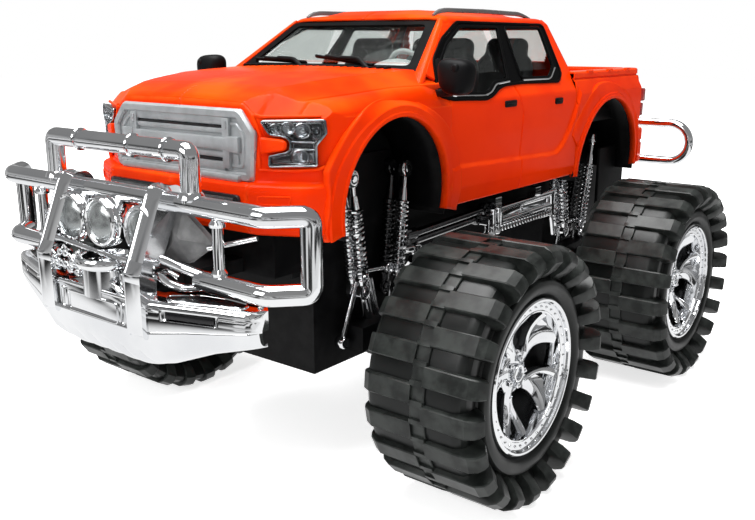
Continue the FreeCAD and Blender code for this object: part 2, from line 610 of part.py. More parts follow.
def link_rod():
    """Left chromed link from the front tower back to the side frame."""
    x, z = SHOCK_X + 1, z_at(LINK_HEIGHT)
    link = rod(V(x, LINK_FRONT, z), V(x, SIDE_FRAME_FRONT, z), LINK_RADIUS)
    bracket = block((CHASSIS_HALF, x + 3), (LINK_FRONT, LINK_FRONT + 8), (z - 5, z + 4))
    return link.fuse(bracket).removeSplitter()


# ---- wheels ------------------------------------------------------------------------------
SHOULDER = 8.0
BEAD_DEPTH = 5.0
SPOKE_DISC = (7.0, 12.0)      # spoke disc faces, in from the rim's outer lip
HUB_FACE = 5.0                # outer end of the hub, in from the rim's outer lip
SPOKE_HOLES = 6
SPOKE_HOLE_RADIUS = 7.5
SPOKE_HOLE_CIRCLE = 20.0
HUB_RADIUS = 8.0


def tyre(y, side):
    """Wide tyre with rounded shoulders and set-back beads."""
    low, high, radius = TYRE_INNER_X, TYRE_OUTER_X, TYRE_RADIUS
    profile = [(low + BEAD_DEPTH, RIM_RADIUS), (low, RIM_RADIUS + 10), (low, radius - SHOULDER),
               (low + 3, radius - 2), (low + SHOULDER, radius), (high - SHOULDER, radius),
               (high - 3, radius - 2), (high, radius - SHOULDER), (high, RIM_RADIUS + 10),
               (high - BEAD_DEPTH, RIM_RADIUS)]
    return turned(profile, y, side)


def rim(y, side):
    """Deep-dished rim with a spoked disc and a hub that is closed at its outer end."""
    low, lip = TYRE_INNER_X + RIM_INSET, TYRE_OUTER_X - RIM_INSET
    face, back = lip - SPOKE_DISC[0], lip - SPOKE_DISC[1]
    inner = RIM_RADIUS - RIM_WALL
    bore = AXLE_RADIUS + AXLE_CLEARANCE
    blind = lip - ROD_INSET + 0.5
    profile = [(low, RIM_RADIUS), (low, inner), (back, inner), (back, HUB_RADIUS),
               (low, HUB_RADIUS), (low, bore), (blind, bore), (blind, 0), (lip - HUB_FACE, 0),
               (lip - HUB_FACE, HUB_RADIUS - 2), (face, HUB_RADIUS + 2), (face, inner),
               (lip, inner), (lip, RIM_RADIUS)]
    shape = turned(profile, y, side)
    holes = []
    for step in range(SPOKE_HOLES):
        angle = 2 * math.pi * step / SPOKE_HOLES
        place = V(side * (back - 1), y + SPOKE_HOLE_CIRCLE * math.cos(angle),
                  AXLE_Z + SPOKE_HOLE_CIRCLE * math.sin(angle))
        holes.append(Part.makeCylinder(SPOKE_HOLE_RADIUS, 12, place, V(side, 0, 0)))
    return shape.cut(holes)


# ---- bull bar, skid and rear loop --------------------------------------------------------
BAR_Y = -107.0                # tubes, counted from the front axle
BAR_END = (91.6, -95.2)       # x and y of the end posts
BAR_BEND_X = 80.0
UPPER_TUBE, LOWER_TUBE = 17.0, -11.0      # above the sill
POST_X = 56.9
HOOP_X, HOOP_TOP = 42.8, 37.0
HOOP_RADIUS = 3.8
HOOP_BEND = 8.0
END_POST_RADIUS, POST_RADIUS = 3.8, 2.2
UPRIGHT_X, UPRIGHT_WIDTH = 27.6, 8.0
UPRIGHT_KNEE = -8.5           # above the sill
UPRIGHT_HEAD = (-110.5, 22.0)         # counted from the front axle; above the sill
UPRIGHT_FOOT = -32.0
STAY_X = (CHASSIS_HALF - 6.0, CHASSIS_HALF - 3.0)
LAMPS_X = (-23.0, 0.0, 23.0)
LAMP_RADIUS = 10.4            # fills the height between the two cross tubes
LAMP_FRONT, LAMP_BACK = -114.5, -104.0
WINCH_Y = -114.0              # drum axis, counted from the front axle
WINCH_RADIUS = 9.0
SKID_TOP = -20.0
SKID_FRONT = -123.0           # also the back of the uprights' feet
SKID_HALF = 40.0
WING_TIP = (78.0, -110.0)     # x and y of the middle of the wing's end
WING_LOW, WING_HIGH = -29.0, -18.0
LOOP_HALF = 96.0
LOOP_LOW, LOOP_HIGH = -4.3, 21.0          # tube axes, above the sill
LOOP_STAY_X = (CHASSIS_HALF - 10.0, CHASSIS_HALF - 2.0)
LOOP_STAY_HEIGHT = 4.5


def bar_tube(height):
    """One cross tube of the bull bar, swept back at both ends."""
    z = z_at(height)
    path = [V(-BAR_END[0], y_at(BAR_END[1]), z), V(-BAR_BEND_X, y_at(BAR_Y), z),
            V(BAR_BEND_X, y_at(BAR_Y), z), V(BAR_END[0], y_at(BAR_END[1]), z)]
    return tube_path(path, TUBE_RADIUS)


def bar_posts():
    """End posts and the slimmer inner posts between the two cross tubes."""
    low, high = z_at(LOWER_TUBE), z_at(UPPER_TUBE)
    end_x, end_y = BAR_END[0], y_at(BAR_END[1])
    end = rod(V(end_x, end_y, low - 3), V(end_x, end_y, high + 3), END_POST_RADIUS)
    post = rod(V(POST_X, y_at(BAR_Y), low), V(POST_X, y_at(BAR_Y), high), POST_RADIUS)
    tubes = [bar_tube(LOWER_TUBE), bar_tube(UPPER_TUBE)]
    made = [end.cut(tubes), post.cut(tubes)]
    return Part.makeCompound(made + [flipped(one) for one in made])


def bar_hoop():
    """Top hoop that stands on the upper cross tube."""
    y, top = y_at(BAR_Y), z_at(HOOP_TOP)
    foot = z_at(UPPER_TUBE)
    bend_x, bend_z = HOOP_X - HOOP_BEND, top - HOOP_BEND
    path = [V(-HOOP_X, y, foot), V(-HOOP_X, y, bend_z), V(-bend_x, y, top),
            V(bend_x, y, top), V(HOOP_X, y, bend_z), V(HOOP_X, y, foot)]
    return tube_path(path, HOOP_RADIUS).cut(bar_tube(UPPER_TUBE))


def upright():
    """Left flat upright, cranked back above its knee."""
    knee_y, knee_z = y_at(SKID_FRONT), z_at(UPRIGHT_KNEE)
    head_y, head_z = y_at(UPRIGHT_HEAD[0]), z_at(UPRIGHT_HEAD[1])
    foot = z_at(UPRIGHT_FOOT)
    front = y_at(0) - FRONT_REACH
    side = [(front, foot), (front, knee_z), (head_y - 4, head_z), (head_y + 2, head_z),
            (knee_y, knee_z), (knee_y, foot)]
    half = UPRIGHT_WIDTH / 2
    bar = prism_x(side, UPRIGHT_X - half, UPRIGHT_X + half)
    return bar.cut([bar_tube(UPPER_TUBE), bar_tube(LOWER_TUBE)])


def bar_stay():
    """Left stay plate from the bull bar's tubes back to the frame."""
    root = y_at(RAIL_FRONT)
    side = [(y_at(BAR_Y + 3), z_at(LOWER_TUBE - 3)), (root, RAIL_BOTTOM + 2), (root, z_at(0)),
            (root - 18, z_at(-1)), (y_at(BAR_Y + 3), z_at(UPPER_TUBE - 4))]
    plate = prism_x(side, STAY_X[0], STAY_X[1])
    return plate.cut([bar_tube(UPPER_TUBE), bar_tube(LOWER_TUBE)])


def bar_lamps():
    """Round auxiliary lamps in a row, held between the two cross tubes."""
    z = z_at((UPPER_TUBE + LOWER_TUBE) / 2)
    around = [bar_tube(UPPER_TUBE), bar_tube(LOWER_TUBE), upright(), flipped(upright())]
    made = [rod(V(x, y_at(LAMP_FRONT), z), V(x, y_at(LAMP_BACK), z), LAMP_RADIUS).cut(around)
            for x in LAMPS_X]
    return Part.makeCompound(made)


def winch():
    """Upright winch drum on the deck of the skid plate, in front of the lower cross tube."""
    y = y_at(WINCH_Y)
    drum = rod(V(0, y, z_at(SKID_TOP)), V(0, y, z_at(LOWER_TUBE)), WINCH_RADIUS)
    return drum.cut(bar_tube(LOWER_TUBE))


def skid_side():
    """Side view of the skid plate's middle: its deck, upright face and raked underside."""
    back = y_at(-96)
    return [(y_at(SKID_FRONT), z_at(SKID_TOP)), (y_at(SKID_FRONT), z_at(-33)),
            (y_at(-110), z_at(-51)), (y_at(-100), z_at(-51)), (back, z_at(-46)),
            (back, z_at(SKID_TOP))]


def skid_plate():
    """Chromed lower bumper: a raked middle, open behind, and two swept wings."""
    middle = prism_x(skid_side(), -SKID_HALF, SKID_HALF)
    pocket = prism_x(inset(skid_side(), 3.0), -SKID_HALF + 3, SKID_HALF - 3)
    behind = block((-SKID_HALF + 3, SKID_HALF - 3), (y_at(-104), y_at(-90)), (z_at(-46), z_at(-23)))
    tip_x, tip_y = WING_TIP[0], y_at(WING_TIP[1])
    plan = [(SKID_HALF - 4, y_at(SKID_FRONT)), (60, y_at(-121)), (tip_x, tip_y - 4),
            (tip_x, tip_y + 4), (60, y_at(-104)), (SKID_HALF - 4, y_at(-100))]
    wing = prism_z(plan, z_at(WING_LOW), z_at(WING_HIGH)).cut(middle)
    return middle.fuse([wing, flipped(wing)]).cut([pocket, behind]).removeSplitter()


def loop_y():
    """Y of the rear loop's tube axis."""
    return y_rear(REAR_REACH) - LOOP_TUBE_RADIUS


def rear_loop():
    """Rear bumper loop: one tube bent into a long racetrack across the tail."""
    y, low, high = loop_y(), z_at(LOOP_LOW), z_at(LOOP_HIGH)
    bend = (high - low) / 2
    straight = LOOP_HALF - bend
    edges = [Part.LineSegment(V(-straight, y, low), V(straight, y, low)).toShape(),
             Part.Arc(V(straight, y, low), V(LOOP_HALF, y, low + bend),
                      V(straight, y, high)).toShape(),
             Part.LineSegment(V(straight, y, high), V(-straight, y, high)).toShape(),
             Part.Arc(V(-straight, y, high), V(-LOOP_HALF, y, low + bend),
                      V(-straight, y, low)).toShape()]
    path = Part.Wire(edges)
    circle = Part.Wire(Part.makeCircle(LOOP_TUBE_RADIUS, V(0, y, low), V(1, 0, 0)))
    return Part.Solid(path.makePipeShell([circle], True, True))


def loop_stay():
    """Left bracket from the frame's tail, under the bumper, out to the rear loop."""
    tail, top = y_rear(RAIL_BACK), z_at(LOOP_LOW) - 0.5
    arm = block(LOOP_STAY_X, (tail, loop_y()), (top - LOOP_STAY_HEIGHT, top))
    lug = block(LOOP_STAY_X, (tail, tail + 6), (RAIL_BOTTOM, top - LOOP_STAY_HEIGHT))
    return arm.fuse(lug).cut(rear_loop()).removeSplitter()


# ---- the sub-parts, by name --------------------------------------------------------------
def build():
    """Every sub-part of the truck, as a name and its shape."""
    parts = {
        "chassis_frame": chassis_frame(),
        "front_body": front_body(), "cab_shell": cab_shell(), "load_bed": load_bed(),
        "grille": grille(), "headlights": pair(headlight_space()),
        "windscreen": pane("screen"), "rear_window": pane("back"),
        "side_windows_left": side_glass(), "side_windows_right": flipped(side_glass()),
        "cowl_and_wipers": cowl(), "door_mirrors": pair(door_mirror()),
        "roof_rails": pair(roof_rail()), "tail_lights": pair(tail_light()),
        "cabin_tub": cabin_tub(), "dashboard": dashboard(), "steering_wheel": steering_wheel(),
        "front_seats": pair(seat(SEAT_X, FRONT_SEAT_Y, SEAT_HALF, FRONT_SEAT_TOP)),
        "rear_seats": pair(seat(SEAT_X, REAR_SEAT_Y, SEAT_HALF, REAR_SEAT_TOP)),
        "side_frames": pair(side_frame()), "link_rods": pair(link_rod()),
        "bull_bar_upper_tube": bar_tube(UPPER_TUBE), "bull_bar_lower_tube": bar_tube(LOWER_TUBE),
        "bull_bar_posts": bar_posts(), "bull_bar_hoop": bar_hoop(),
        "bull_bar_uprights": pair(upright()), "bull_bar_stays": pair(bar_stay()),
        "rear_bumper": rear_bumper(), "bar_lamps": bar_lamps(), "winch": winch(),
        "skid_plate": skid_plate(), "rear_loop": rear_loop(), "rear_loop_stays": pair(loop_stay()),
    }
    for box in GEARBOXES:
        parts[box.name] = gearbox(box)
    for end, axle_y, shocks in (("front", FRONT_Y, FRONT_SHOCKS), ("rear", REAR_Y, REAR_SHOCKS)):
        parts[end + "_axle_carriers"] = axle_carriers(axle_y)
        parts[end + "_axle_rod"] = axle_rod(axle_y)
        for side_name, side in (("left", LEFT), ("right", RIGHT)):
            corner = end + "_" + side_name
            parts[corner + "_shocks"] = corner_shocks(axle_y, shocks, side)
            parts[corner + "_tyre"] = tyre(axle_y, side)
            parts[corner + "_rim"] = rim(axle_y, side)
    return parts


os.makedirs("parts", exist_ok=True)
for part_name, part_shape in build().items():
    part_shape.exportStep("parts/" + part_name + ".step")
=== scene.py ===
"""Toy monster truck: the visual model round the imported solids.

Lengths in this script are millimetres in the truck's own frame (+Z up, the front faces -Y, the
truck's left is +X, the origin is on the floor). They become metres when a mesh is made.
"""
from __future__ import annotations

import json
import logging
import math
import sys
from collections.abc import Callable, Sequence
from dataclasses import dataclass
from enum import Enum

import bpy
import numpy as np
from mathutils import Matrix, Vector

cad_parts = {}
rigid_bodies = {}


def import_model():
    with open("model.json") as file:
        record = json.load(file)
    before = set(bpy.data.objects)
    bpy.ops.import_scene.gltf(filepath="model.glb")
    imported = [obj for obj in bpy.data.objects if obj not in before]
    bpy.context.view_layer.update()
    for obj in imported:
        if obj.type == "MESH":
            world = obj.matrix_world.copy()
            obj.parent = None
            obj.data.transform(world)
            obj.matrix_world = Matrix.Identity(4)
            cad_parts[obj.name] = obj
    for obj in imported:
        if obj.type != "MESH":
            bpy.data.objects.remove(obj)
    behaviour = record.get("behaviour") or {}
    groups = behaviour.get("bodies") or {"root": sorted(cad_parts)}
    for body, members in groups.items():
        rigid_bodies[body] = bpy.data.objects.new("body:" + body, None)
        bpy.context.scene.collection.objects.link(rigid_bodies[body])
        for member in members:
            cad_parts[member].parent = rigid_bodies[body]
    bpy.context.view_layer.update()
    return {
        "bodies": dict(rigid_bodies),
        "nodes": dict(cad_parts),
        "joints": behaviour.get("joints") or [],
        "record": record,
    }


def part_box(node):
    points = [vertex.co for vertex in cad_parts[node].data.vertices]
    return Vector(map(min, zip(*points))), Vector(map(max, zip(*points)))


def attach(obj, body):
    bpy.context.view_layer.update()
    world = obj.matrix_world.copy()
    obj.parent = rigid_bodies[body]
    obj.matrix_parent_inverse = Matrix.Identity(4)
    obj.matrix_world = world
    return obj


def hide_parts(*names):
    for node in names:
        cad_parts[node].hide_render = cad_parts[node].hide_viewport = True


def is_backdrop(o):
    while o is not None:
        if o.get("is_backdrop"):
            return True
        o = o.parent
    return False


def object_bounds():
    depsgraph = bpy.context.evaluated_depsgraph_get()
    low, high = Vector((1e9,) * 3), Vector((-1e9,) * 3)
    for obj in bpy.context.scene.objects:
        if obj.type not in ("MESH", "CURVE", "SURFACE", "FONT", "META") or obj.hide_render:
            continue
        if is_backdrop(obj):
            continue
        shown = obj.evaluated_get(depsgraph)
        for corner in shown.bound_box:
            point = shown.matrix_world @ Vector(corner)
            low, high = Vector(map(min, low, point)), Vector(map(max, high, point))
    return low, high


LOG = logging.getLogger("monster_truck")
MM = 0.001
Array = np.ndarray
Point = tuple[float, float, float]
Flat = tuple[float, float]


# ---- surfaces ----------------------------------------------------------------------------
def grid_quads(rows: int, cols: int, wrap_rows: bool = False, wrap_cols: bool = False) -> Array:
    """Corner numbers of the quads of a grid of points.

    Args:
        rows: Number of rows of points.
        cols: Number of points in a row.
        wrap_rows: Whether the last row joins the first.
        wrap_cols: Whether the last point of a row joins the first.

    Returns:
        One row of four corner numbers per quad.
    """
    row = np.arange(rows if wrap_rows else rows - 1)
    col = np.arange(cols if wrap_cols else cols - 1)
    i, j = np.meshgrid(row, col, indexing="ij")
    i_next, j_next = (i + 1) % rows, (j + 1) % cols
    corners = [i * cols + j, i_next * cols + j, i_next * cols + j_next, i * cols + j_next]
    return np.stack(corners, -1).reshape(-1, 4)


@dataclass
class Skin:
    """A surface in millimetres: its points, and its faces grouped by number of corners."""

    points: Array
    faces: list[Array]

    def moved(self, by: Sequence[float]) -> Skin:
        """The surface shifted by a vector."""
        return Skin(self.points + np.asarray(by, float), self.faces)

    def placed(self, origin: Sequence[float], axes: Array) -> Skin:
        """The surface with its own X, Y and Z laid along the rows of axes at an origin."""
        skin = Skin(self.points @ np.asarray(axes, float) + np.asarray(origin, float), self.faces)
        return skin if np.linalg.det(axes) > 0 else skin.inside_out()

    def inside_out(self) -> Skin:
        """The surface with every face turned round."""
        return Skin(self.points, [faces[:, ::-1] for faces in self.faces])

    def flipped(self) -> Skin:
        """The same surface on the other side of the truck's centre plane."""
        return Skin(self.points * np.array([-1.0, 1.0, 1.0]), self.faces).inside_out()

    def both(self) -> Skin:
        """The surface and its mirror image."""
        return join([self, self.flipped()])

    def without(self, removed: Callable[[Array], Array]) -> Skin:
        """The surface less the faces whose middle a test takes out."""
        kept = [faces[~removed(self.points[faces].mean(axis=1))] for faces in self.faces]
        return Skin(self.points, [faces for faces in kept if len(faces)])


def join(skins: Sequence[Skin]) -> Skin:
    """Several surfaces as one, each keeping its own points.

    Args:
        skins: The surfaces.

    Returns:
        All of them as one.
    """
    faces: list[Array] = []
    start = 0
    for skin in skins:
        faces += [group + start for group in skin.faces]
        start += len(skin.points)
    return Skin(np.concatenate([skin.points for skin in skins]), faces)


def grid(points: Array, wrap_rows: bool = False, wrap_cols: bool = False,
         cap_ends: bool = False) -> Skin:
    """A surface through a rows by columns array of points.

    Args:
        points: Array of shape (rows, cols, 3).
        wrap_rows: Whether the last row joins the first.
        wrap_cols: Whether each row is a closed loop.
        cap_ends: Whether the first and last rows are closed with a flat face.

    Returns:
        The surface, with its faces wound from the rows towards the columns.
    """
    rows, cols = points.shape[:2]
    faces = [grid_quads(rows, cols, wrap_rows, wrap_cols)]
    if cap_ends:
        ends = [np.arange(cols), np.arange(cols)[::-1] + (rows - 1) * cols]
        faces.append(np.array(ends))
    return Skin(points.reshape(-1, 3).astype(float), faces)


def unit(vectors: Array) -> Array:
    """Vectors scaled to length one."""
    return vectors / np.maximum(np.linalg.norm(vectors, axis=-1, keepdims=True), 1e-12)


def rounded(corners: Sequence[Sequence[float]], radius: float, steps: int = 5,
            closed: bool = False) -> Array:
    """A line through corners, with each corner rounded.

    A corner becomes a quadratic curve between the points a radius (at most 0.49 of the shorter
    side) before and after it.

    Args:
        corners: The corner points, in two or three dimensions.
        radius: How far before and after a corner the curve starts and ends.
        steps: Number of spans in each rounded corner.
        closed: Whether the line returns to its first corner.

    Returns:
        The points of the rounded line.
    """
    points = np.asarray(corners, float)
    before, after = np.roll(points, 1, 0) - points, np.roll(points, -1, 0) - points
    length = np.minimum(np.linalg.norm(before, axis=1), np.linalg.norm(after, axis=1))
    reach = np.minimum(radius, 0.49 * length)[:, None]
    start, end = points + unit(before) * reach, points + unit(after) * reach
    t = np.linspace(0.0, 1.0, steps + 1)[None, :, None]
    curves = ((1 - t) ** 2 * start[:, None] + 2 * t * (1 - t) * points[:, None]
              + t ** 2 * end[:, None])
    if closed:
        return curves.reshape(-1, points.shape[1])
    inner = curves[1:-1].reshape(-1, points.shape[1])
    return np.concatenate([points[:1], inner, points[-1:]])


def along(path: Array, count: int, closed: bool = False) -> Array:
    """The path resampled to evenly spaced points.

    Args:
        path: The path's points.
        count: Points wanted.
        closed: Whether it joins its own start.

    Returns:
        The new points.
    """
    line = np.concatenate([path, path[:1]]) if closed else path
    distance = np.concatenate([[0.0], np.cumsum(np.linalg.norm(np.diff(line, axis=0), axis=1))])
    want = np.linspace(0.0, distance[-1], count + 1 if closed else count)
    want = want[:-1] if closed else want
    return np.stack([np.interp(want, distance, line[:, k]) for k in range(line.shape[1])], 1)


def sweep(path: Array, section: Array, closed: bool = False, up: Point | None = None,
          scale: Array | None = None) -> Skin:
    """A closed section carried along a path.

    Each section lies across the path's direction. Its first coordinate runs along the side
    direction (path direction crossed with up) and its second along the remaining one. With no
    up vector, the frame is carried along the path without twist.

    Args:
        path: Points of shape (n, 3).
        section: Points of shape (k, 2), counter-clockwise.
        closed: Whether the path is a loop.
        up: Direction that the section's second coordinate leans to.
        scale: Section scale at each path point, of shape (n,) or (n, 2).

    Returns:
        The swept surface.
    """
    count = len(path)
    if closed:
        ahead = np.roll(path, -1, 0) - np.roll(path, 1, 0)
    else:
        ahead = np.gradient(path, axis=0)
    ahead = unit(ahead)
    if up is None:
        seed = np.array([0.0, 0.0, 1.0]) if abs(ahead[0, 2]) < 0.9 else np.array([0.0, 1.0, 0.0])
        lean = np.empty_like(path)
        current = seed
        for k in range(count):
            current = current - ahead[k] * current.dot(ahead[k])
            current = current / np.linalg.norm(current)
            lean[k] = current
    else:
        fixed = np.broadcast_to(np.asarray(up, float), path.shape)
        lean = unit(fixed - ahead * (fixed * ahead).sum(1, keepdims=True))
    side = np.cross(ahead, lean)
    size = np.ones((count, 2)) if scale is None else np.asarray(scale, float).reshape(count, -1)
    size = np.broadcast_to(size, (count, 2))
    across = section[None, :, 0, None] * size[:, None, 0, None] * side[:, None]
    raised = section[None, :, 1, None] * size[:, None, 1, None] * lean[:, None]
    return grid(path[:, None] + across + raised, wrap_rows=closed, wrap_cols=True,
                cap_ends=not closed)


def circle(radius: float, count: int = 16) -> Array:
    """A circle as counter-clockwise points."""
    angle = np.arange(count) * 2 * np.pi / count
    return np.stack([radius * np.cos(angle), radius * np.sin(angle)], 1)


def tube(corners: Sequence[Sequence[float]], radius: float, bend: float = 6.0,
         sides: int = 18, steps: int = 6) -> Skin:
    """A round bar along rounded corners: a circle carried along the path."""
    return sweep(rounded(corners, bend, steps), circle(radius, sides))


def revolved(profile: Sequence[Flat], steps: int = 64, closed: bool = True) -> Skin:
    """A (radius, height) profile turned about Z.

    Point (i, j) is (r_i cos a_j, r_i sin a_j, h_i). A profile that runs counter-clockwise in
    the (radius, height) plane faces outwards; an open one runs upwards and is capped.

    Args:
        profile: The profile's points.
        steps: Number of spans in the full turn.
        closed: Whether the profile's last point joins its first.

    Returns:
        The surface of revolution.
    """
    line = np.asarray(profile, float)
    angle = np.arange(steps) * 2 * np.pi / steps
    radius, height = line[:, 0, None], line[:, 1, None]
    points = np.stack([radius * np.cos(angle), radius * np.sin(angle),
                       height * np.ones_like(angle)], -1)
    return grid(points, wrap_rows=closed, wrap_cols=True, cap_ends=not closed).inside_out()


def shoelace(outline: Array) -> float:
    """Twice the signed area of a closed outline, positive when counter-clockwise."""
    after = np.roll(outline, -1, 0)
    return float((outline[:, 0] * after[:, 1] - after[:, 0] * outline[:, 1]).sum())


def shrunk(outline: Array, distance: float) -> Array:
    """A closed counter-clockwise outline with its sides moved inwards by a distance.

    Args:
        outline: The outline.
        distance: How far its sides move.

    Returns:
        The new outline.
    """
    into, out = unit(outline - np.roll(outline, 1, 0)), unit(np.roll(outline, -1, 0) - outline)
    normal_in = np.stack([-into[:, 1], into[:, 0]], 1)
    normal_out = np.stack([-out[:, 1], out[:, 0]], 1)
    share = 1.0 + np.maximum((normal_in * normal_out).sum(1, keepdims=True), -0.6)
    return outline + (normal_in + normal_out) * distance / share


def plate(outline: Array, layers: Sequence[Flat]) -> Skin:
    """A closed outline stacked in layers along Z.

    Layer k is the outline drawn in by its first number, at the height of its second. Layers
    run upwards for an outward-facing plate.

    Args:
        outline: Counter-clockwise points of shape (n, 2).
        layers: (inset, height) pairs.

    Returns:
        The stacked surface, in the XY plane with its thickness along Z.
    """
    line = np.asarray(outline, float)
    rings = [np.column_stack([shrunk(line, inset), np.full(len(line), height)])
             for inset, height in layers]
    return grid(np.stack(rings), wrap_cols=True, cap_ends=True).inside_out()


def slab(outline: Array, low: float, high: float, bevel: float = 0.4) -> Skin:
    """A plate between two heights with both rims bevelled.

    Args:
        outline: The plate's outline.
        low: Its lower face.
        high: Its upper face.
        bevel: Width of both bevels.

    Returns:
        The plate.
    """
    steps = [(bevel, low), (bevel * 0.3, low + bevel * 0.3), (0.0, low + bevel),
             (0.0, high - bevel), (bevel * 0.3, high - bevel * 0.3), (bevel, high)]
    return plate(outline, steps)


def frame_axes(across: Point, up: Point) -> Array:
    """Axes whose rows are across, up and their cross product.

    Args:
        across: First row.
        up: Second row, made square to the first.

    Returns:
        The three rows.
    """
    a = unit(np.asarray(across, float))
    b = np.asarray(up, float)
    b = unit(b - a * a.dot(b))
    return np.stack([a, b, np.cross(a, b)])


X_OUT = frame_axes((0, 1, 0), (0, 0, 1))       # plate axes: Y, Z, thickness along +X
FRONT_OUT = frame_axes((1, 0, 0), (0, 0, 1))   # plate axes: X, Z, thickness along -Y
BACK_OUT = frame_axes((-1, 0, 0), (0, 0, 1))   # plate axes: -X, Z, thickness along +Y


def rect(low: Flat, high: Flat, corner: float = 0.0, steps: int = 3) -> Array:
    """A counter-clockwise rectangle between two corners, with rounded corners if asked."""
    corners = [(low[0], low[1]), (high[0], low[1]), (high[0], high[1]), (low[0], high[1])]
    return rounded(corners, corner, steps, closed=True) if corner else np.array(corners, float)


def block(low: Point, high: Point, bevel: float = 0.5, corner: float = 0.0) -> Skin:
    """A bevelled box between two corners."""
    outline = rect(low[:2], high[:2], corner)
    return slab(outline, low[2], high[2], min(bevel, (high[2] - low[2]) * 0.45))


def blend(t: Array | float) -> Array:
    """The smooth step: 0 below 0, 1 above 1, and 3t^2 - 2t^3 between."""
    t = np.clip(t, 0.0, 1.0)
    return t * t * (3.0 - 2.0 * t)


def ridge(distance: Array | float, width: float) -> Array:
    """A smooth bump: 1 at distance 0, falling to 0 at the width."""
    return blend(1.0 - np.abs(distance) / width)


def inside(points_2d: Array, outline: Array) -> Array:
    """Whether points lie inside a closed outline (even number of crossings is outside).

    Args:
        points_2d: The points.
        outline: The outline.

    Returns:
        One truth value for each point.
    """
    x, y = points_2d[:, 0, None], points_2d[:, 1, None]
    x0, y0 = outline[None, :, 0], outline[None, :, 1]
    x1, y1 = np.roll(x0, -1, 1), np.roll(y0, -1, 1)
    crosses = ((y0 > y) != (y1 > y)) & (x < (x1 - x0) * (y - y0) / (y1 - y0 + 1e-12) + x0)
    return crosses.sum(1) % 2 == 1


# ---- finishes ----------------------------------------------------------------------------
def node_group(name: str, inputs: dict[str, float | Point], outputs: Sequence[str]
               ) -> bpy.types.NodeTree:
    """An empty shader group with named sockets.

    Args:
        name: The group's name.
        inputs: Socket name to default value; three numbers make a vector socket.
        outputs: Names of the value outputs.

    Returns:
        The group, holding its input and output nodes.
    """
    group = bpy.data.node_groups.new(name, "ShaderNodeTree")
    for label, default in inputs.items():
        kind = "NodeSocketVector" if isinstance(default, tuple) else "NodeSocketFloat"
        socket = group.interface.new_socket(label, in_out="INPUT", socket_type=kind)
        socket.default_value = default
    for label in outputs:
        group.interface.new_socket(label, in_out="OUTPUT", socket_type="NodeSocketFloat")
    group.nodes.new("NodeGroupInput").name = "in"
    group.nodes.new("NodeGroupOutput").name = "out"
    return group


def noise(tree: bpy.types.NodeTree, vector: bpy.types.NodeSocket, detail: float = 3.0,
          scale: float = 1.0) -> bpy.types.ShaderNode:
    """A noise texture node that reads a position.

    Args:
        tree: The shader tree.
        vector: The position.
        detail: Octaves of detail.
        scale: Its scale, unless a link sets it.

    Returns:
        The node, whose "Fac" output is the noise.
    """
    node = tree.nodes.new("ShaderNodeTexNoise")
    for label, number in (("Detail", detail), ("Roughness", 0.55), ("Scale", scale)):
        node.inputs[label].default_value = number
    tree.links.new(vector, node.inputs["Vector"])
    return node


def spread(tree: bpy.types.NodeTree, value: bpy.types.NodeSocket, span: Flat, to: Flat
           ) -> bpy.types.NodeSocket:
    """Values carried smoothly from one span to another by a Map Range node.

    Args:
        tree: The shader tree.
        value: The value that is carried.
        span: Where it starts and ends.
        to: What the start and the end become.

    Returns:
        The node's result.
    """
    node = tree.nodes.new("ShaderNodeMapRange")
    node.interpolation_type = "SMOOTHSTEP"
    for label, number in zip(("From Min", "From Max", "To Min", "To Max"), span + to):
        node.inputs[label].default_value = number
    tree.links.new(value, node.inputs["Value"])
    return node.outputs["Result"]


def math_node(tree: bpy.types.NodeTree, kind: str, first: bpy.types.NodeSocket,
              second: bpy.types.NodeSocket | float) -> bpy.types.NodeSocket:
    """The output of a Math node.

    Args:
        tree: The shader tree.
        kind: The node's operation.
        first: Its first value.
        second: Its second value, or the socket that gives it.

    Returns:
        The node's output.
    """
    node = tree.nodes.new("ShaderNodeMath")
    node.operation = kind
    tree.links.new(first, node.inputs[0])
    if isinstance(second, float):
        node.inputs[1].default_value = second
    else:
        tree.links.new(second, node.inputs[1])
    return node.outputs[0]


def mixed(tree: bpy.types.NodeTree, share: bpy.types.NodeSocket,
          first: bpy.types.NodeSocket, second: bpy.types.NodeSocket) -> bpy.types.NodeSocket:
    """The output of a Mix Shader node.

    Args:
        tree: The shader tree.
        share: How much of the second shader is shown.
        first: The first shader.
        second: The second shader.

    Returns:
        The node's output.
    """
    node = tree.nodes.new("ShaderNodeMixShader")
    for entry, source in zip(node.inputs, (share, first, second)):
        tree.links.new(source, entry)
    return node.outputs[0]


def grain_group() -> bpy.types.NodeTree:
    """Fine mould grain over a slow unevenness.

    Two noises on the position are added: Fine at its own scale, and Slow at a much larger one.
    Height mixes them by Slow Share, and Mottle is the slow one alone, for roughness and colour.

    Returns:
        The group.
    """
    group = node_group("mould_grain", {"Vector": (0.0, 0.0, 0.0), "Fine Scale": 900.0,
                                       "Slow Scale": 40.0, "Slow Share": 0.6},
                       ["Height", "Mottle"])
    entry, end = group.nodes["in"], group.nodes["out"]
    fine, slow = (noise(group, entry.outputs["Vector"]) for _ in range(2))
    group.links.new(entry.outputs["Fine Scale"], fine.inputs["Scale"])
    group.links.new(entry.outputs["Slow Scale"], slow.inputs["Scale"])
    slow_part = math_node(group, "MULTIPLY", slow.outputs["Fac"], entry.outputs["Slow Share"])
    total = math_node(group, "ADD", slow_part, fine.outputs["Fac"])
    group.links.new(total, end.inputs["Height"])
    group.links.new(slow.outputs["Fac"], end.inputs["Mottle"])
    return group


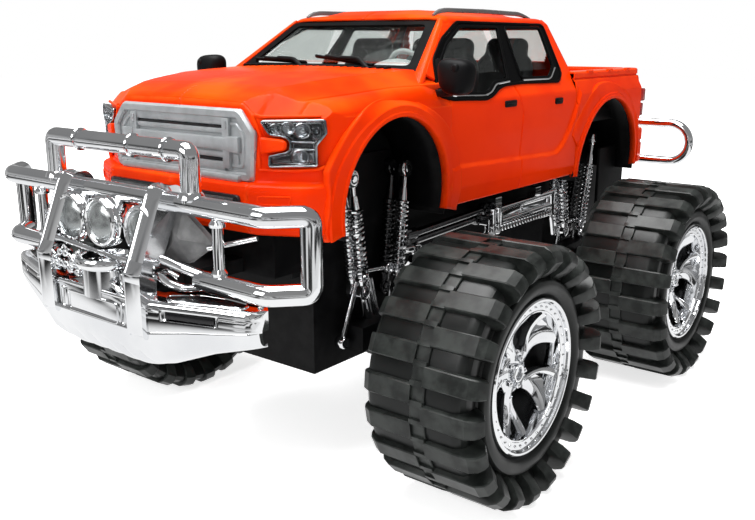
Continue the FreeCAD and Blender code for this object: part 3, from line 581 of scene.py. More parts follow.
def wear_group() -> bpy.types.NodeTree:
    """Rubbed edges and dust in hollows.

    Pointiness above 0.5 marks outer edges and below 0.5 marks hollows. Each is stretched to
    0 to 1 and broken up by a noise, and scaled by its amount.

    Returns:
        The group.
    """
    group = node_group("edge_wear", {"Vector": (0.0, 0.0, 0.0), "Edge Amount": 0.5,
                                     "Dust Amount": 0.3}, ["Edge", "Dust"])
    entry, end = group.nodes["in"], group.nodes["out"]
    shape = group.nodes.new("ShaderNodeNewGeometry").outputs["Pointiness"]
    patchy = noise(group, entry.outputs["Vector"], detail=5.0, scale=150.0)
    patches = spread(group, patchy.outputs["Fac"], (0.35, 0.65), (0.2, 1.0))
    for label, span in (("Edge", (0.515, 0.57)), ("Dust", (0.49, 0.44))):
        found = spread(group, shape, span, (0.0, 1.0))
        broken = math_node(group, "MULTIPLY", found, patches)
        amount = math_node(group, "MULTIPLY", broken, entry.outputs[label + " Amount"])
        group.links.new(amount, end.inputs[label])
    return group


# Painted top light: this attribute feeds the lighter colour painted on surfaces that face
# upwards.
PAINTED_TOP_LIGHT = "painted_top_light_facing"  # the piece's own attribute: how far a surface faces up, from -1 to 1


class Relief(Enum):
    """How a finish's small relief is laid: bump strength and distance in metres."""

    SATIN = (0.06, 0.00002)
    MOULDED = (0.12, 0.00004)
    PLATED = (0.14, 0.0002)
    RUBBERY = (0.25, 0.00006)


@dataclass(frozen=True)
class Finish:
    """One procedural material of the truck, all of it on Object coordinates.

    Attributes:
        name: Material name.
        color: Main linear colour.
        other: Colour of the slow mottle and of hollows.
        edge: Colour that rubbed edges turn to.
        roughness: Lowest and highest roughness.
        top: Painted top light: a lighter colour painted on surfaces that face upwards, where it
            differs.
        metallic: Metallic value.
        coat: Clear coat weight.
        relief: Small relief.
        grain: Fine and slow noise scales, per metre.
        wear: Edge and dust amounts.
        specular: Specular level.
        slot: The record's material slot of pieces in this finish.
    """

    name: str
    color: Point
    other: Point
    edge: Point
    roughness: Flat = (0.3, 0.4)
    # painted top light: colour painted on surfaces that face upwards
    top: Point | None = None
    metallic: float = 0.0
    coat: float = 0.0
    relief: Relief = Relief.MOULDED
    grain: Flat = (900.0, 40.0)
    wear: Flat = (0.3, 0.3)
    specular: float = 0.5
    slot: str = "black_plastic"

    def tint(self, tree: bpy.types.NodeTree, mottle: bpy.types.NodeSocket,
             wear: bpy.types.ShaderNode) -> bpy.types.NodeSocket:
        """The main colour under its other colours, each laid on by its own mask.

        Args:
            tree: The material's tree.
            mottle: The slow unevenness, from 0 to 1.
            wear: The wear group's node.

        Returns:
            The colour.
        """
        layers = [(self.other, mottle), (self.other, wear.outputs["Dust"]),
                  (self.edge, wear.outputs["Edge"])]
        # Painted top light: surfaces that face upwards are painted the lighter top colour.
        if self.top is not None:
            painted_top_facing = tree.nodes.new("ShaderNodeAttribute")
            painted_top_facing.attribute_name = PAINTED_TOP_LIGHT
            layers.insert(0, (self.top, spread(tree, painted_top_facing.outputs["Fac"], (0.1, 1.0),
                                               (0.0, 1.0))))
        below: bpy.types.NodeSocket | None = None
        for color, mask in layers:
            mix = tree.nodes.new("ShaderNodeMix")
            mix.data_type = "RGBA"
            tree.links.new(mask, mix.inputs[0])
            mix.inputs[6].default_value = (*self.color, 1.0)
            mix.inputs[7].default_value = (*color, 1.0)
            if below is not None:
                tree.links.new(below, mix.inputs[6])
            below = mix.outputs[2]
        return below

    def build(self, groups: dict[str, bpy.types.NodeTree]) -> bpy.types.Material:
        """The material, with the shared groups set to this finish's values.

        Args:
            groups: The grain and wear groups.

        Returns:
            The material.
        """
        made = bpy.data.materials.new(self.name)
        made.use_nodes = True
        tree = made.node_tree
        shader = tree.nodes["Principled BSDF"]
        place = tree.nodes.new("ShaderNodeTexCoord").outputs["Object"]
        settings = {"grain": ("Fine Scale", "Slow Scale"), "wear": ("Edge Amount", "Dust Amount")}
        used = {}
        for kind, labels in settings.items():
            used[kind] = tree.nodes.new("ShaderNodeGroup")
            used[kind].node_tree = groups[kind]
            for label, number in zip(labels, getattr(self, kind)):
                used[kind].inputs[label].default_value = number
            tree.links.new(place, used[kind].inputs["Vector"])
        slow = used["grain"].outputs["Mottle"]
        color = self.tint(tree, spread(tree, slow, (0.35, 0.65), (0.0, 1.0)), used["wear"])
        tree.links.new(color, shader.inputs["Base Color"])
        rough = spread(tree, slow, (0.3, 0.7), self.roughness)
        tree.links.new(rough, shader.inputs["Roughness"])
        for label, number in (("Metallic", self.metallic), ("Coat Weight", self.coat),
                              ("Coat Roughness", 0.06), ("Specular IOR Level", self.specular)):
            shader.inputs[label].default_value = number
        bump = tree.nodes.new("ShaderNodeBump")
        for label, number in zip(("Strength", "Distance"), self.relief.value):
            bump.inputs[label].default_value = number
        tree.links.new(used["grain"].outputs["Height"], bump.inputs["Height"])
        tree.links.new(bump.outputs["Normal"], shader.inputs["Normal"])
        return made


@dataclass(frozen=True)
class ClearFinish:
    """Clear moulded glazing: a glass shader that lets light through to what lies behind it.

    Attributes:
        name: Material name.
        color: Tint of what is seen through it.
        roughness: Surface roughness.
        clarity: Share of plain see-through in the mix.
        slot: The record's material slot of pieces in this finish.
    """

    name: str
    color: Point
    roughness: float
    clarity: float
    slot: str = "lamp_lens"

    def build(self, groups: dict[str, bpy.types.NodeTree]) -> bpy.types.Material:
        """The material: shadow rays, and a share of the others, pass straight through.

        Args:
            groups: The grain and wear groups.

        Returns:
            The material.
        """
        made = bpy.data.materials.new(self.name)
        made.use_nodes = True
        tree = made.node_tree
        shader, end = tree.nodes["Principled BSDF"], tree.nodes["Material Output"]
        place = tree.nodes.new("ShaderNodeTexCoord").outputs["Object"]
        grain = tree.nodes.new("ShaderNodeGroup")
        grain.node_tree = groups["grain"]
        grain.inputs["Slow Scale"].default_value = 25.0
        tree.links.new(place, grain.inputs["Vector"])
        rough = spread(tree, grain.outputs["Mottle"], (0.3, 0.7),
                       (self.roughness, self.roughness + 0.05))
        tree.links.new(rough, shader.inputs["Roughness"])
        shader.inputs["Base Color"].default_value = (*self.color, 1.0)
        shader.inputs["Transmission Weight"].default_value = 1.0
        shader.inputs["IOR"].default_value = 1.45
        through = tree.nodes.new("ShaderNodeBsdfTransparent")
        through.inputs["Color"].default_value = (*self.color, 1.0)
        light = tree.nodes.new("ShaderNodeLightPath").outputs["Is Shadow Ray"]
        share = math_node(tree, "MAXIMUM", light, self.clarity)
        seen = mixed(tree, share, shader.outputs["BSDF"], through.outputs["BSDF"])
        tree.links.new(seen, end.inputs["Surface"])
        return made


FINISHES = (
    # orange_gloss paints top light: its top colour is a lighter orange on surfaces that face
    # upwards.
    Finish("orange_gloss", (0.83, 0.034, 0.001), (0.77, 0.027, 0.0008), (0.95, 0.10, 0.01),
           (0.2, 0.27), top=(0.92, 0.07, 0.002), coat=0.03, relief=Relief.SATIN,
           grain=(260.0, 22.0), wear=(0.25, 0.2), specular=0.03, slot="orange_shell"),
    Finish("chrome_bright", (0.90, 0.91, 0.92), (0.80, 0.81, 0.83), (0.95, 0.95, 0.95),
           (0.04, 0.11), metallic=1.0, relief=Relief.PLATED, grain=(60.0, 24.0),
           wear=(0.2, 0.25), slot="chrome_plate"),
    Finish("black_satin", (0.0025, 0.0025, 0.003), (0.004, 0.004, 0.0045), (0.02, 0.02, 0.02),
           (0.4, 0.52), specular=0.1),
    Finish("black_trim", (0.002, 0.002, 0.0022), (0.003, 0.003, 0.0032), (0.012, 0.012, 0.012),
           (0.3, 0.42), wear=(0.25, 0.2), specular=0.03),
    Finish("black_gloss", (0.006, 0.006, 0.007), (0.01, 0.01, 0.011), (0.04, 0.04, 0.04),
           (0.1, 0.18), coat=0.1, relief=Relief.SATIN, specular=0.35),
    Finish("tyre_black", (0.003, 0.0038, 0.0035), (0.005, 0.006, 0.0056), (0.05, 0.056, 0.052),
           (0.28, 0.42), relief=Relief.RUBBERY, grain=(1400.0, 60.0), wear=(0.5, 0.3),
           specular=0.3, slot="tyre_rubber"),
    Finish("silver_satin", (0.40, 0.42, 0.43), (0.34, 0.36, 0.37), (0.68, 0.70, 0.72),
           (0.26, 0.36), metallic=0.45, relief=Relief.SATIN, slot="silver_grille"),
    Finish("lamp_bowl", (0.34, 0.35, 0.36), (0.14, 0.145, 0.15), (0.9, 0.9, 0.9),
           (0.06, 0.14), metallic=1.0, relief=Relief.SATIN, grain=(90.0, 60.0),
           slot="lamp_lens"),
    Finish("red_lens", (0.30, 0.006, 0.005), (0.22, 0.004, 0.003), (0.4, 0.03, 0.02),
           (0.08, 0.14), coat=0.6, relief=Relief.SATIN, slot="red_lens"),
    Finish("seat_grey", (0.03, 0.033, 0.034), (0.022, 0.024, 0.025), (0.09, 0.095, 0.1),
           (0.42, 0.55), slot="grey_plastic"),
    Finish("dash_grey", (0.36, 0.38, 0.38), (0.28, 0.30, 0.30), (0.5, 0.52, 0.52),
           (0.38, 0.5), slot="grey_plastic"),
    Finish("lamp_dome", (0.42, 0.44, 0.44), (0.36, 0.38, 0.38), (0.6, 0.6, 0.6),
           (0.2, 0.26), metallic=0.85, relief=Relief.SATIN, grain=(90.0, 60.0),
           slot="lamp_lens"),
    Finish("rail_grey", (0.16, 0.16, 0.16), (0.12, 0.12, 0.12), (0.5, 0.5, 0.5),
           (0.2, 0.3), metallic=0.4),
    Finish("cast_grey", (0.10, 0.10, 0.102), (0.06, 0.06, 0.062), (0.3, 0.3, 0.3),
           (0.35, 0.5), specular=0.25, grain=(260.0, 70.0), slot="chrome_plate"),
    Finish("steel_plain", (0.11, 0.11, 0.113), (0.08, 0.08, 0.083), (0.32, 0.32, 0.32),
           (0.14, 0.24), metallic=1.0, relief=Relief.SATIN, slot="chrome_plate"),
)
CLEAR_FINISHES = (
    ClearFinish("window_clear", (0.89, 0.91, 0.9), 0.015, 0.86),
    ClearFinish("screen_clear", (0.9, 0.92, 0.91), 0.015, 0.86),
    ClearFinish("lamp_clear", (0.95, 0.96, 0.97), 0.02, 0.8),
)


class Kit:
    """What every sub-assembly shares: the finishes, and the way a piece joins the model."""

    def __init__(self) -> None:
        """Builds the shared groups and every finish once."""
        groups = {"grain": grain_group(), "wear": wear_group()}
        makers = (*FINISHES, *CLEAR_FINISHES)
        self.finishes = {maker.name: maker.build(groups) for maker in makers}
        self.slots = {maker.name: maker.slot for maker in makers}

    def add(self, name: str, skin: Skin, finish: str, body: str = "truck",
            replaces: Sequence[str] = (), sharp: float = 32.0,
            slot: str = "") -> bpy.types.Object:
        """Makes a surface a piece of the truck.

        Args:
            name: Piece name.
            skin: Its surface, in millimetres.
            finish: Name of its finish.
            body: Body that it moves with.
            replaces: Solid nodes that it stands for.
            sharp: Edges that turn by more degrees than this stay sharp.
            slot: The record's material slot, where it isn't the finish's own. Not used.

        Returns:
            The piece's object.
        """
        mesh = bpy.data.meshes.new(name)
        mesh.vertices.add(len(skin.points))
        mesh.vertices.foreach_set("co", (skin.points * MM).astype(np.float32).ravel())
        corners = np.concatenate([faces.ravel() for faces in skin.faces])
        sizes = np.concatenate([np.full(len(faces), faces.shape[1]) for faces in skin.faces])
        mesh.loops.add(len(corners))
        mesh.loops.foreach_set("vertex_index", corners.astype(np.int32))
        mesh.polygons.add(len(sizes))
        starts = np.cumsum(sizes) - sizes
        mesh.polygons.foreach_set("loop_start", starts.astype(np.int32))
        mesh.update(calc_edges=True)
        mesh.validate()
        # Painted top light: how far each point faces up is stored for the top colour painted on
        # surfaces that face upwards.
        painted_top_facing = np.empty(3 * len(mesh.vertices), np.float32)
        mesh.vertices.foreach_get("normal", painted_top_facing)
        mesh.attributes.new(PAINTED_TOP_LIGHT, "FLOAT", "POINT").data.foreach_set("value", painted_top_facing[2::3])
        mesh.shade_smooth()
        mesh.set_sharp_from_angle(angle=math.radians(sharp))
        mesh.materials.append(self.finishes[finish])
        piece = bpy.data.objects.new(name, mesh)
        bpy.context.scene.collection.objects.link(piece)
        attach(piece, body)
        if replaces:
            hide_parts(*replaces)
        LOG.info("%s: %d faces on %s", name, len(sizes), body)
        return piece

    def thicken(self, piece: bpy.types.Object, wall: float) -> None:
        """Gives a moulded shell its wall, black on the inner side.

        Args:
            piece: The shell.
            wall: Its thickness in millimetres.
        """
        piece.data.materials.append(self.finishes["black_satin"])
        shell = piece.modifiers.new("wall", "SOLIDIFY")
        shell.thickness, shell.offset = wall * MM, -1.0
        shell.material_offset = 1

    def dress(self, node: bpy.types.Object, finish: str) -> None:
        """Gives a shown solid node its finish."""
        node.data.materials.clear()
        node.data.materials.append(self.finishes[finish])


# ---- layout ------------------------------------------------------------------------------
@dataclass(frozen=True)
class Layout:
    """Where the main things are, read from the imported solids, in millimetres.

    Attributes:
        front_y: Front axle.
        rear_y: Rear axle.
        axle_z: Height of both axles.
        tyre_radius: Outer radius of the tyres.
        tyre_mid: Middle of a tyre's width, from the centre plane.
        tyre_half: Half a tyre's width.
    """

    front_y: float
    rear_y: float
    axle_z: float
    tyre_radius: float
    tyre_mid: float
    tyre_half: float

    @classmethod
    def read(cls) -> Layout:
        """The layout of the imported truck, from the boxes of its two left tyres.

        Returns:
            The layout.
        """
        low, high = (np.array(corner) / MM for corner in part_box("front_left_tyre"))
        rear_low, rear_high = (np.array(corner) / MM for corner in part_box("rear_left_tyre"))
        mid = (low + high) / 2
        return cls(front_y=mid[1], rear_y=(rear_low[1] + rear_high[1]) / 2, axle_z=mid[2],
                   tyre_radius=(high[2] - low[2]) / 2, tyre_mid=mid[0],
                   tyre_half=(high[0] - low[0]) / 2)


@dataclass
class Assembly:
    """A sub-assembly of the truck; what it puts on the body has Y from the front axle.

    Attributes:
        kit: Shared finishes.
        layout: The truck's layout.
    """

    kit: Kit
    layout: Layout

    def put(self, name: str, skin: Skin, finish: str, nodes: Sequence[str] = (),
            sharp: float = 32.0, slot: str = "", wall: float = 0.0) -> None:
        """Moves a surface to the front axle and makes it a piece of the truck.

        Args:
            name: Piece name.
            skin: Its surface.
            finish: Name of its finish.
            nodes: Solid nodes that it stands for.
            sharp: Edges that turn by more degrees than this stay sharp.
            slot: The record's material slot, where it isn't the finish's own.
            wall: Thickness of a shell's wall, or 0 for a closed piece.
        """
        piece = self.kit.add(name, skin.moved((0, self.layout.front_y, 0)), finish,
                             replaces=nodes, sharp=sharp, slot=slot)
        if wall:
            self.kit.thicken(piece, wall)


# ---- wheels ------------------------------------------------------------------------------
def spun(skin: Skin, turn: float) -> Skin:
    """A surface turned about Z by an angle in radians."""
    c, s = math.cos(turn), math.sin(turn)
    return Skin(skin.points @ np.array([[c, s, 0], [-s, c, 0], [0, 0, 1.0]]), skin.faces)


def ring_of(skin: Skin, count: int, phase: float = 0.0) -> Skin:
    """Copies of a surface at equal turns about Z, the first one a phase of a turn on."""
    return join([spun(skin, turn) for turn in (np.arange(count) + phase) * 2 * np.pi / count])


@dataclass
class Tyre:
    """Wide tyre with two staggered rows of paddle lugs and a ribbed centre band.

    It is built about Z with its outer side upwards: radius and height in millimetres.

    Attributes:
        radius: Outer radius over the lugs.
        half: Half its width.
        bead: Radius of the bore that the rim fills.
        lugs: Lugs in each row.
        carcass_top: Radius of the carcass between the lugs.
        band_half: Half width of the centre band.
        band_drop: How far the centre band lies below the lugs.
        lug_half: Half a lug's width along the tread.
    """

    radius: float = 57.0
    half: float = 28.5
    bead: float = 34.4
    lugs: int = 22
    carcass_top: float = 54.9
    band_half: float = 3.4
    band_drop: float = 1.1
    lug_half: float = 4.1

    def carcass(self) -> Skin:
        """The smooth casing: tread floor, round shoulders and bead rings set back in.

        Returns:
            The surface, built about Z.
        """
        h, top = self.half, self.carcass_top
        outer = [(top, h - 13.6), (54.6, h - 11.6), (53.5, h - 9.6), (51.6, h - 8.2),
                 (49.0, h - 7.8), (46.0, h - 8.4), (43.8, h - 8.8)]
        inner = [(top, h - 6.4), (54.3, h - 4.0), (52.8, h - 2.1), (50.6, h - 1.4),
                 (48.6, h - 2.8), (46.0, h - 5.2), (43.8, h - 7.8)]
        bead = [(42.9, h - 8.2), (42.5, h - 7.0), (41.8, h - 6.0), (40.6, h - 5.5),
                (38.8, h - 5.5), (37.2, h - 6.0), (36.0, h - 7.0), (35.3, h - 8.4),
                (self.bead, h - 9.6), (self.bead, h - 14.0)]
        profile = outer + bead + [(r, -z) for r, z in reversed(inner + bead)]
        return revolved(profile, 132)

    def lug_side(self) -> tuple[Array, Array]:
        """Outer and inner (radius, height) lines of a lug, from the centre to the bead ring.

        The outer line runs flat across the tread, down a flat chamfer, over the shoulder and
        back along the side wall. The inner line lies within the casing.

        Returns:
            Both lines, point for point.
        """
        top, h = self.radius, self.half
        outer = [(top, 2.6), (top, 8.0), (top, 13.0), (top, h - 5.4), (55.3, h - 2.0),
                 (53.1, h - 0.5), (50.8, h), (46.6, h - 2.8), (43.0, h - 7.2)]
        inner = [(52.8, 2.6), (52.8, 8.0), (52.4, 10.0), (50.6, h - 14.6), (48.8, h - 12.2),
                 (47.4, h - 11.0), (46.2, h - 10.4), (44.2, h - 10.2), (41.8, h - 10.2)]
        return np.array(outer), np.array(inner)

    def lug(self) -> Skin:
        """One lug: a bevelled bar whose section (half width, outer, inner) follows its line.

        At each station the section is a rectangle between the inner and the outer line with
        its two outer edges chamfered; its half width narrows from the tread to the bead.

        Returns:
            The surface, built about Z.
        """
        outer, inner = self.lug_side()
        width = self.lug_half * np.array([1.0, 1.0, 1.0, 1.0, 0.96, 0.9, 0.86, 0.74, 0.6])
        bevel = 0.45
        inward = unit(inner - outer)
        rows = []
        steps = ((-1.12, None), (-1.0, bevel), (-1.0, 0.0), (1.0, 0.0), (1.0, bevel),
                 (1.12, None))
        for share, drop in steps:
            if drop is None:
                place, across = inner, share * width
            else:
                place = outer + inward * drop
                flat = width - bevel if drop == 0.0 else width
                across = share * flat
            rows.append(np.column_stack([place[:, 0], across, place[:, 1]]))
        points = np.stack(rows, axis=1)
        return grid(points, wrap_cols=True, cap_ends=True).inside_out()

    def band(self) -> Skin:
        """The centre band with its raised cross bars, two for each lug.

        Returns:
            The surface, built about Z.
        """
        top = self.radius - self.band_drop
        half = self.band_half
        ring = revolved([(50.0, -half), (top - 0.3, -half), (top, -half + 0.3),
                         (top, half - 0.3), (top - 0.3, half), (50.0, half)], 132)
        bar = block((top - 0.6, -1.1, -half), (self.radius - 0.05, 1.1, half), 0.5)
        return join([ring, ring_of(bar, 2 * self.lugs, 0.42)])

    def build(self) -> Skin:
        """The whole tyre about Z.

        Returns:
            The surface, built about Z.
        """
        row = ring_of(self.lug(), self.lugs)
        other = Skin(row.points * np.array([1.0, 1.0, -1.0]), row.faces).inside_out()
        return join([self.carcass(), row, spun(other, np.pi / self.lugs), self.band()])


@dataclass
class Rim:
    """Plated rim: a stepped lip with a ring of rivets, five swept spokes and a nutted hub.

    It is built about Z with its outer side upwards, on the tyre's middle plane.

    Attributes:
        lip: Height of the outer lip.
        radius: Outer radius.
        spokes: Number of spokes.
        rivets: Number of rivets.
        face: Height of the spokes' face.
    """

    lip: float = 22.0
    radius: float = 34.45
    spokes: int = 5
    rivets: int = 38
    face: float = 11.6

    def barrel(self) -> Skin:
        """Lip, rivet band and the deep barrel inside it.

        Returns:
            The surface, built about Z.
        """
        lip, out = self.lip, self.radius
        profile = [(out, -21.5), (out, lip - 1.3), (out - 0.15, lip - 0.4), (out - 0.7, lip),
                   (out - 1.6, lip), (out - 2.1, lip - 0.5), (out - 2.3, lip - 1.5),
                   (out - 2.6, lip - 1.8), (out - 5.6, lip - 2.2), (out - 6.0, lip - 2.0),
                   (out - 6.5, lip - 2.2), (out - 6.8, lip - 3.2), (out - 7.0, lip - 10.5),
                   (out - 7.6, 2.0), (out - 3.0, 0.0), (out - 3.0, -21.5)]
        return revolved(profile[::-1], 120).inside_out()

    def rivet_ring(self) -> Skin:
        """Small domed rivets round the lip's step.

        Returns:
            The surface, built about Z.
        """
        dome = revolved([(0.5, -0.4), (0.68, 0.0), (0.58, 0.25), (0.32, 0.48), (0.02, 0.55)],
                        8, closed=False)
        return ring_of(dome.moved((self.radius - 4.1, 0, self.lip - 1.95)), self.rivets)

    def blade(self, start: Flat, end: Flat, width: tuple[float, float, float], crown: float,
              lift: float, sweep_deg: float) -> Skin:
        """One curved arm of a spoke.

        Its centre line goes from radius and angle start to radius and angle end, with the
        angle bowed by sweep_deg sin(pi t); its section is a crowned strip whose width is
        interpolated from three values and whose height is crown (1 - s^2).

        Args:
            start: Radius and angle in degrees at the hub.
            end: Radius and angle in degrees at the rim.
            width: Half widths at the hub, middle and rim.
            crown: Height of the strip's ridge over its edges.
            lift: Height of the strip's edges over the spoke face.
            sweep_deg: Bow of the centre line in degrees.

        Returns:
            The arm as a closed surface.
        """
        t = np.linspace(0.0, 1.0, 25)
        radius = start[0] + (end[0] - start[0]) * t
        angle = np.radians(start[1] + (end[1] - start[1]) * t + sweep_deg * np.sin(np.pi * t))
        line = np.stack([radius * np.cos(angle), radius * np.sin(angle)], 1)
        ahead = unit(np.gradient(line, axis=0))
        across = np.stack([-ahead[:, 1], ahead[:, 0]], 1)
        half = np.interp(t, [0.0, 0.5, 1.0], width)
        s = np.array([-1.0, -0.93, -0.6, -0.2, 0.2, 0.6, 0.93, 1.0, 0.9, -0.9])
        rise = crown * (1 - s ** 2) + lift
        rise[[0, 7]] = lift - 0.7
        rise[[8, 9]] = lift - 3.6
        hollow = 1.3 * np.sin(np.pi * t) - 5.8 * t ** 1.6
        plan = line[:, None] + across[:, None] * (half[:, None] * s)[:, :, None]
        height = self.face + rise[None] - hollow[:, None]
        points = np.concatenate([plan, height[:, :, None]], axis=2)
        return grid(points, wrap_cols=True, cap_ends=True)

    def spoke(self) -> Skin:
        """A spoke: a broad swept arm, a slim one that leaves it, and the web between them.

        Returns:
            The surface, built about Z.
        """
        broad = self.blade((6.5, 0.0), (28.6, -6.0), (3.4, 3.3, 4.6), 0.9, 0.2, 9.0)
        slim = self.blade((11.0, 9.0), (28.4, 27.0), (1.5, 1.1, 1.9), 0.8, 0.6, 8.0)
        web = self.blade((16.0, 12.0), (28.2, 10.0), (1.4, 2.4, 3.4), -0.5, -1.6, 5.0)
        return join([broad, slim, web])

    def hub(self) -> Skin:
        """Hub disc, five nuts on studs and the cap ring round a sunk centre.

        Returns:
            The surface, built about Z.
        """
        face = self.face
        disc = revolved([(0.02, face - 4.0), (9.8, face - 4.0), (10.6, face - 2.2),
                         (9.9, face - 0.2), (8.6, face + 0.5), (0.02, face + 0.5)], 40,
                        closed=False)
        hexagon = circle(1.45, 6)
        nut = join([slab(hexagon, face, face + 2.2, 0.35),
                    revolved([(0.7, face + 2.0), (0.7, face + 2.6), (0.5, face + 2.9),
                              (0.02, face + 3.0)], 10, closed=False)])
        nuts = ring_of(nut.moved((6.4, 0, 0)), self.spokes, 0.5)
        cap = revolved([(4.1, face), (4.1, face + 2.6), (3.8, face + 3.1), (3.1, face + 3.1),
                        (2.7, face + 2.7), (2.6, face + 1.4), (1.6, face + 1.2),
                        (1.3, face + 1.9), (0.02, face + 2.1)], 32, closed=False)
        return join([disc, nuts, cap])

    def build(self) -> Skin:
        """The whole rim about Z."""
        return join([self.barrel(), self.rivet_ring(), ring_of(self.spoke(), self.spokes),
                     self.hub()])

    def backing(self) -> Skin:
        """The dark drum behind the spokes."""
        return revolved([(0.02, -2.0), (26.6, -2.0), (26.4, 2.4), (14.0, 2.8), (10.0, 4.0),
                         (9.0, 5.0), (0.02, 5.0)], 64, closed=False)


@dataclass
class Wheels(Assembly):
    """The four wheels, each on its own rolling body.

    Attributes:
        turns: Roll of the front and the rear wheels' spokes, in degrees.
        tyre_turn: Roll of the tyres, in degrees.
        slack: How much narrower a shown tyre is than its solid, on each side.
    """

    turns: Flat = (30.0, -6.0)
    tyre_turn: float = 3.0
    slack: float = 0.1

    def on_axle(self, skin: Skin, left: bool, y: float, turn: float) -> Skin:
        """A part built about Z, turned and laid on an axle with its outer side outwards.

        Args:
            skin: The part.
            left: Whether it is on the truck's left.
            y: The axle.
            turn: Its roll in degrees.

        Returns:
            The part in its place.
        """
        middle = (self.layout.tyre_mid, y, self.layout.axle_z)
        laid = spun(skin, math.radians(turn)).placed(middle, X_OUT)
        return laid if left else laid.flipped()

    def build(self) -> None:
        """Builds tyres, rims and the drums behind them."""
        tyre = Tyre(radius=self.layout.tyre_radius,
                    half=self.layout.tyre_half - self.slack).build()
        rim = Rim()
        ends = (("front", self.layout.front_y), ("rear", self.layout.rear_y))
        for (end, y), roll in zip(ends, self.turns):
            for side in ("left", "right"):
                corner = f"{end}_{side}"
                for kind, skin, turn, finish, nodes, sharp in (
                        ("lugged_tyre", tyre, self.tyre_turn, "tyre_black",
                         [corner + "_tyre"], 24),
                        ("plated_rim", rim.build(), roll, "chrome_bright",
                         [corner + "_rim"], 32),
                        ("hub_drum", rim.backing(), 0.0, "black_satin", (), 32)):
                    self.kit.add(f"{corner}_{kind}",
                                 self.on_axle(skin, side == "left", y, turn), finish,
                                 corner + "_wheel", nodes, sharp)


# ---- body --------------------------------------------------------------------------------
def table(rows: Sequence[Flat], at: Array | float) -> Array:
    """Broken-line value at a place, from (place, value) rows."""
    line = np.asarray(rows, float)
    return np.interp(at, line[:, 0], line[:, 1])


def ring_rows(outlines: Sequence[Array], levels: Array, keys: Array) -> Array:
    """Plan outlines given at key heights, worked out at every level between them.

    Args:
        outlines: One (n, 2) outline for each key height.
        levels: Heights wanted.
        keys: The key heights, rising.

    Returns:
        Points of shape (n, levels, 3).
    """
    stack = np.stack(outlines)
    place = np.clip(np.searchsorted(keys, levels, side="right") - 1, 0, len(keys) - 2)
    share = np.clip((levels - keys[place]) / (keys[place + 1] - keys[place]), 0.0, 1.0)
    plan = stack[place] * (1 - share)[:, None, None] + stack[place + 1] * share[:, None, None]
    height = np.broadcast_to(levels[:, None, None], plan.shape[:2] + (1,))
    return np.concatenate([plan, height], axis=2).transpose(1, 0, 2)


@dataclass(frozen=True)
class Flank:
    """The doors' and wings' outer surface, as X for a place (y from the front axle, z).

    Attributes:
        wall: X at rising heights: the wall, then the flat plane of the side windows.
        fold: Height of the upper rocker fold at the front of the doors.
        fold_out: How far the rocker stands out below that fold.
        lower_fold: Height of the lower rocker fold.
        waist: (x, z) of the window plane's lower edge.
        lean: How fast the window plane moves inwards as it rises.
        outward: The window plane's outward direction.
    """

    wall: tuple[Flat, ...] = ((119.0, 69.7), (139.0, 69.7), (150.0, 70.1), (160.0, 70.3),
                              (166.0, 70.1), (168.0, 69.7), (170.0, 68.6), (204.0, 50.03))
    fold: float = 139.2
    fold_out: float = 1.6
    lower_fold: float = 127.6
    waist: Flat = (68.6, 170.0)
    lean: float = 0.5463
    outward: Point = (0.8776, 0.0, 0.4794)

    def x(self, y: Array | float, z: Array | float) -> Array:
        """X of the surface: the wall's broken line, out below the fold, in below the lower.

        Args:
            y: Distance behind the front axle.
            z: Height.

        Returns:
            The distances from the centre plane.
        """
        rear = np.maximum(np.asarray(y, float) - 126.0, 0.0)
        fold = self.fold - 0.036 * (y - 34.0) + 0.035 * rear ** 2
        lower = self.lower_fold - 0.025 * (y - 46.0)
        behind = blend((np.asarray(y, float) - 8.0) / 10.0)
        x = table(self.wall, z) + self.fold_out * behind * blend((fold - z) / 2.2)
        return x - 2.0 * np.clip((lower - z) / 8.0, 0.0, 1.0)

    def glass(self, outline: Sequence[Flat] | Array, lift: float = 0.0) -> Array:
        """Points of the window plane for (y, z) pairs, lifted off it along its normal.

        Args:
            outline: The pairs.
            lift: Height over the plane.

        Returns:
            The points.
        """
        flat = np.asarray(outline, float)
        x = self.waist[0] - self.lean * (flat[:, 1] - self.waist[1])
        return np.column_stack([x, flat[:, 0], flat[:, 1]]) + lift * np.array(self.outward)


FLANK = Flank()


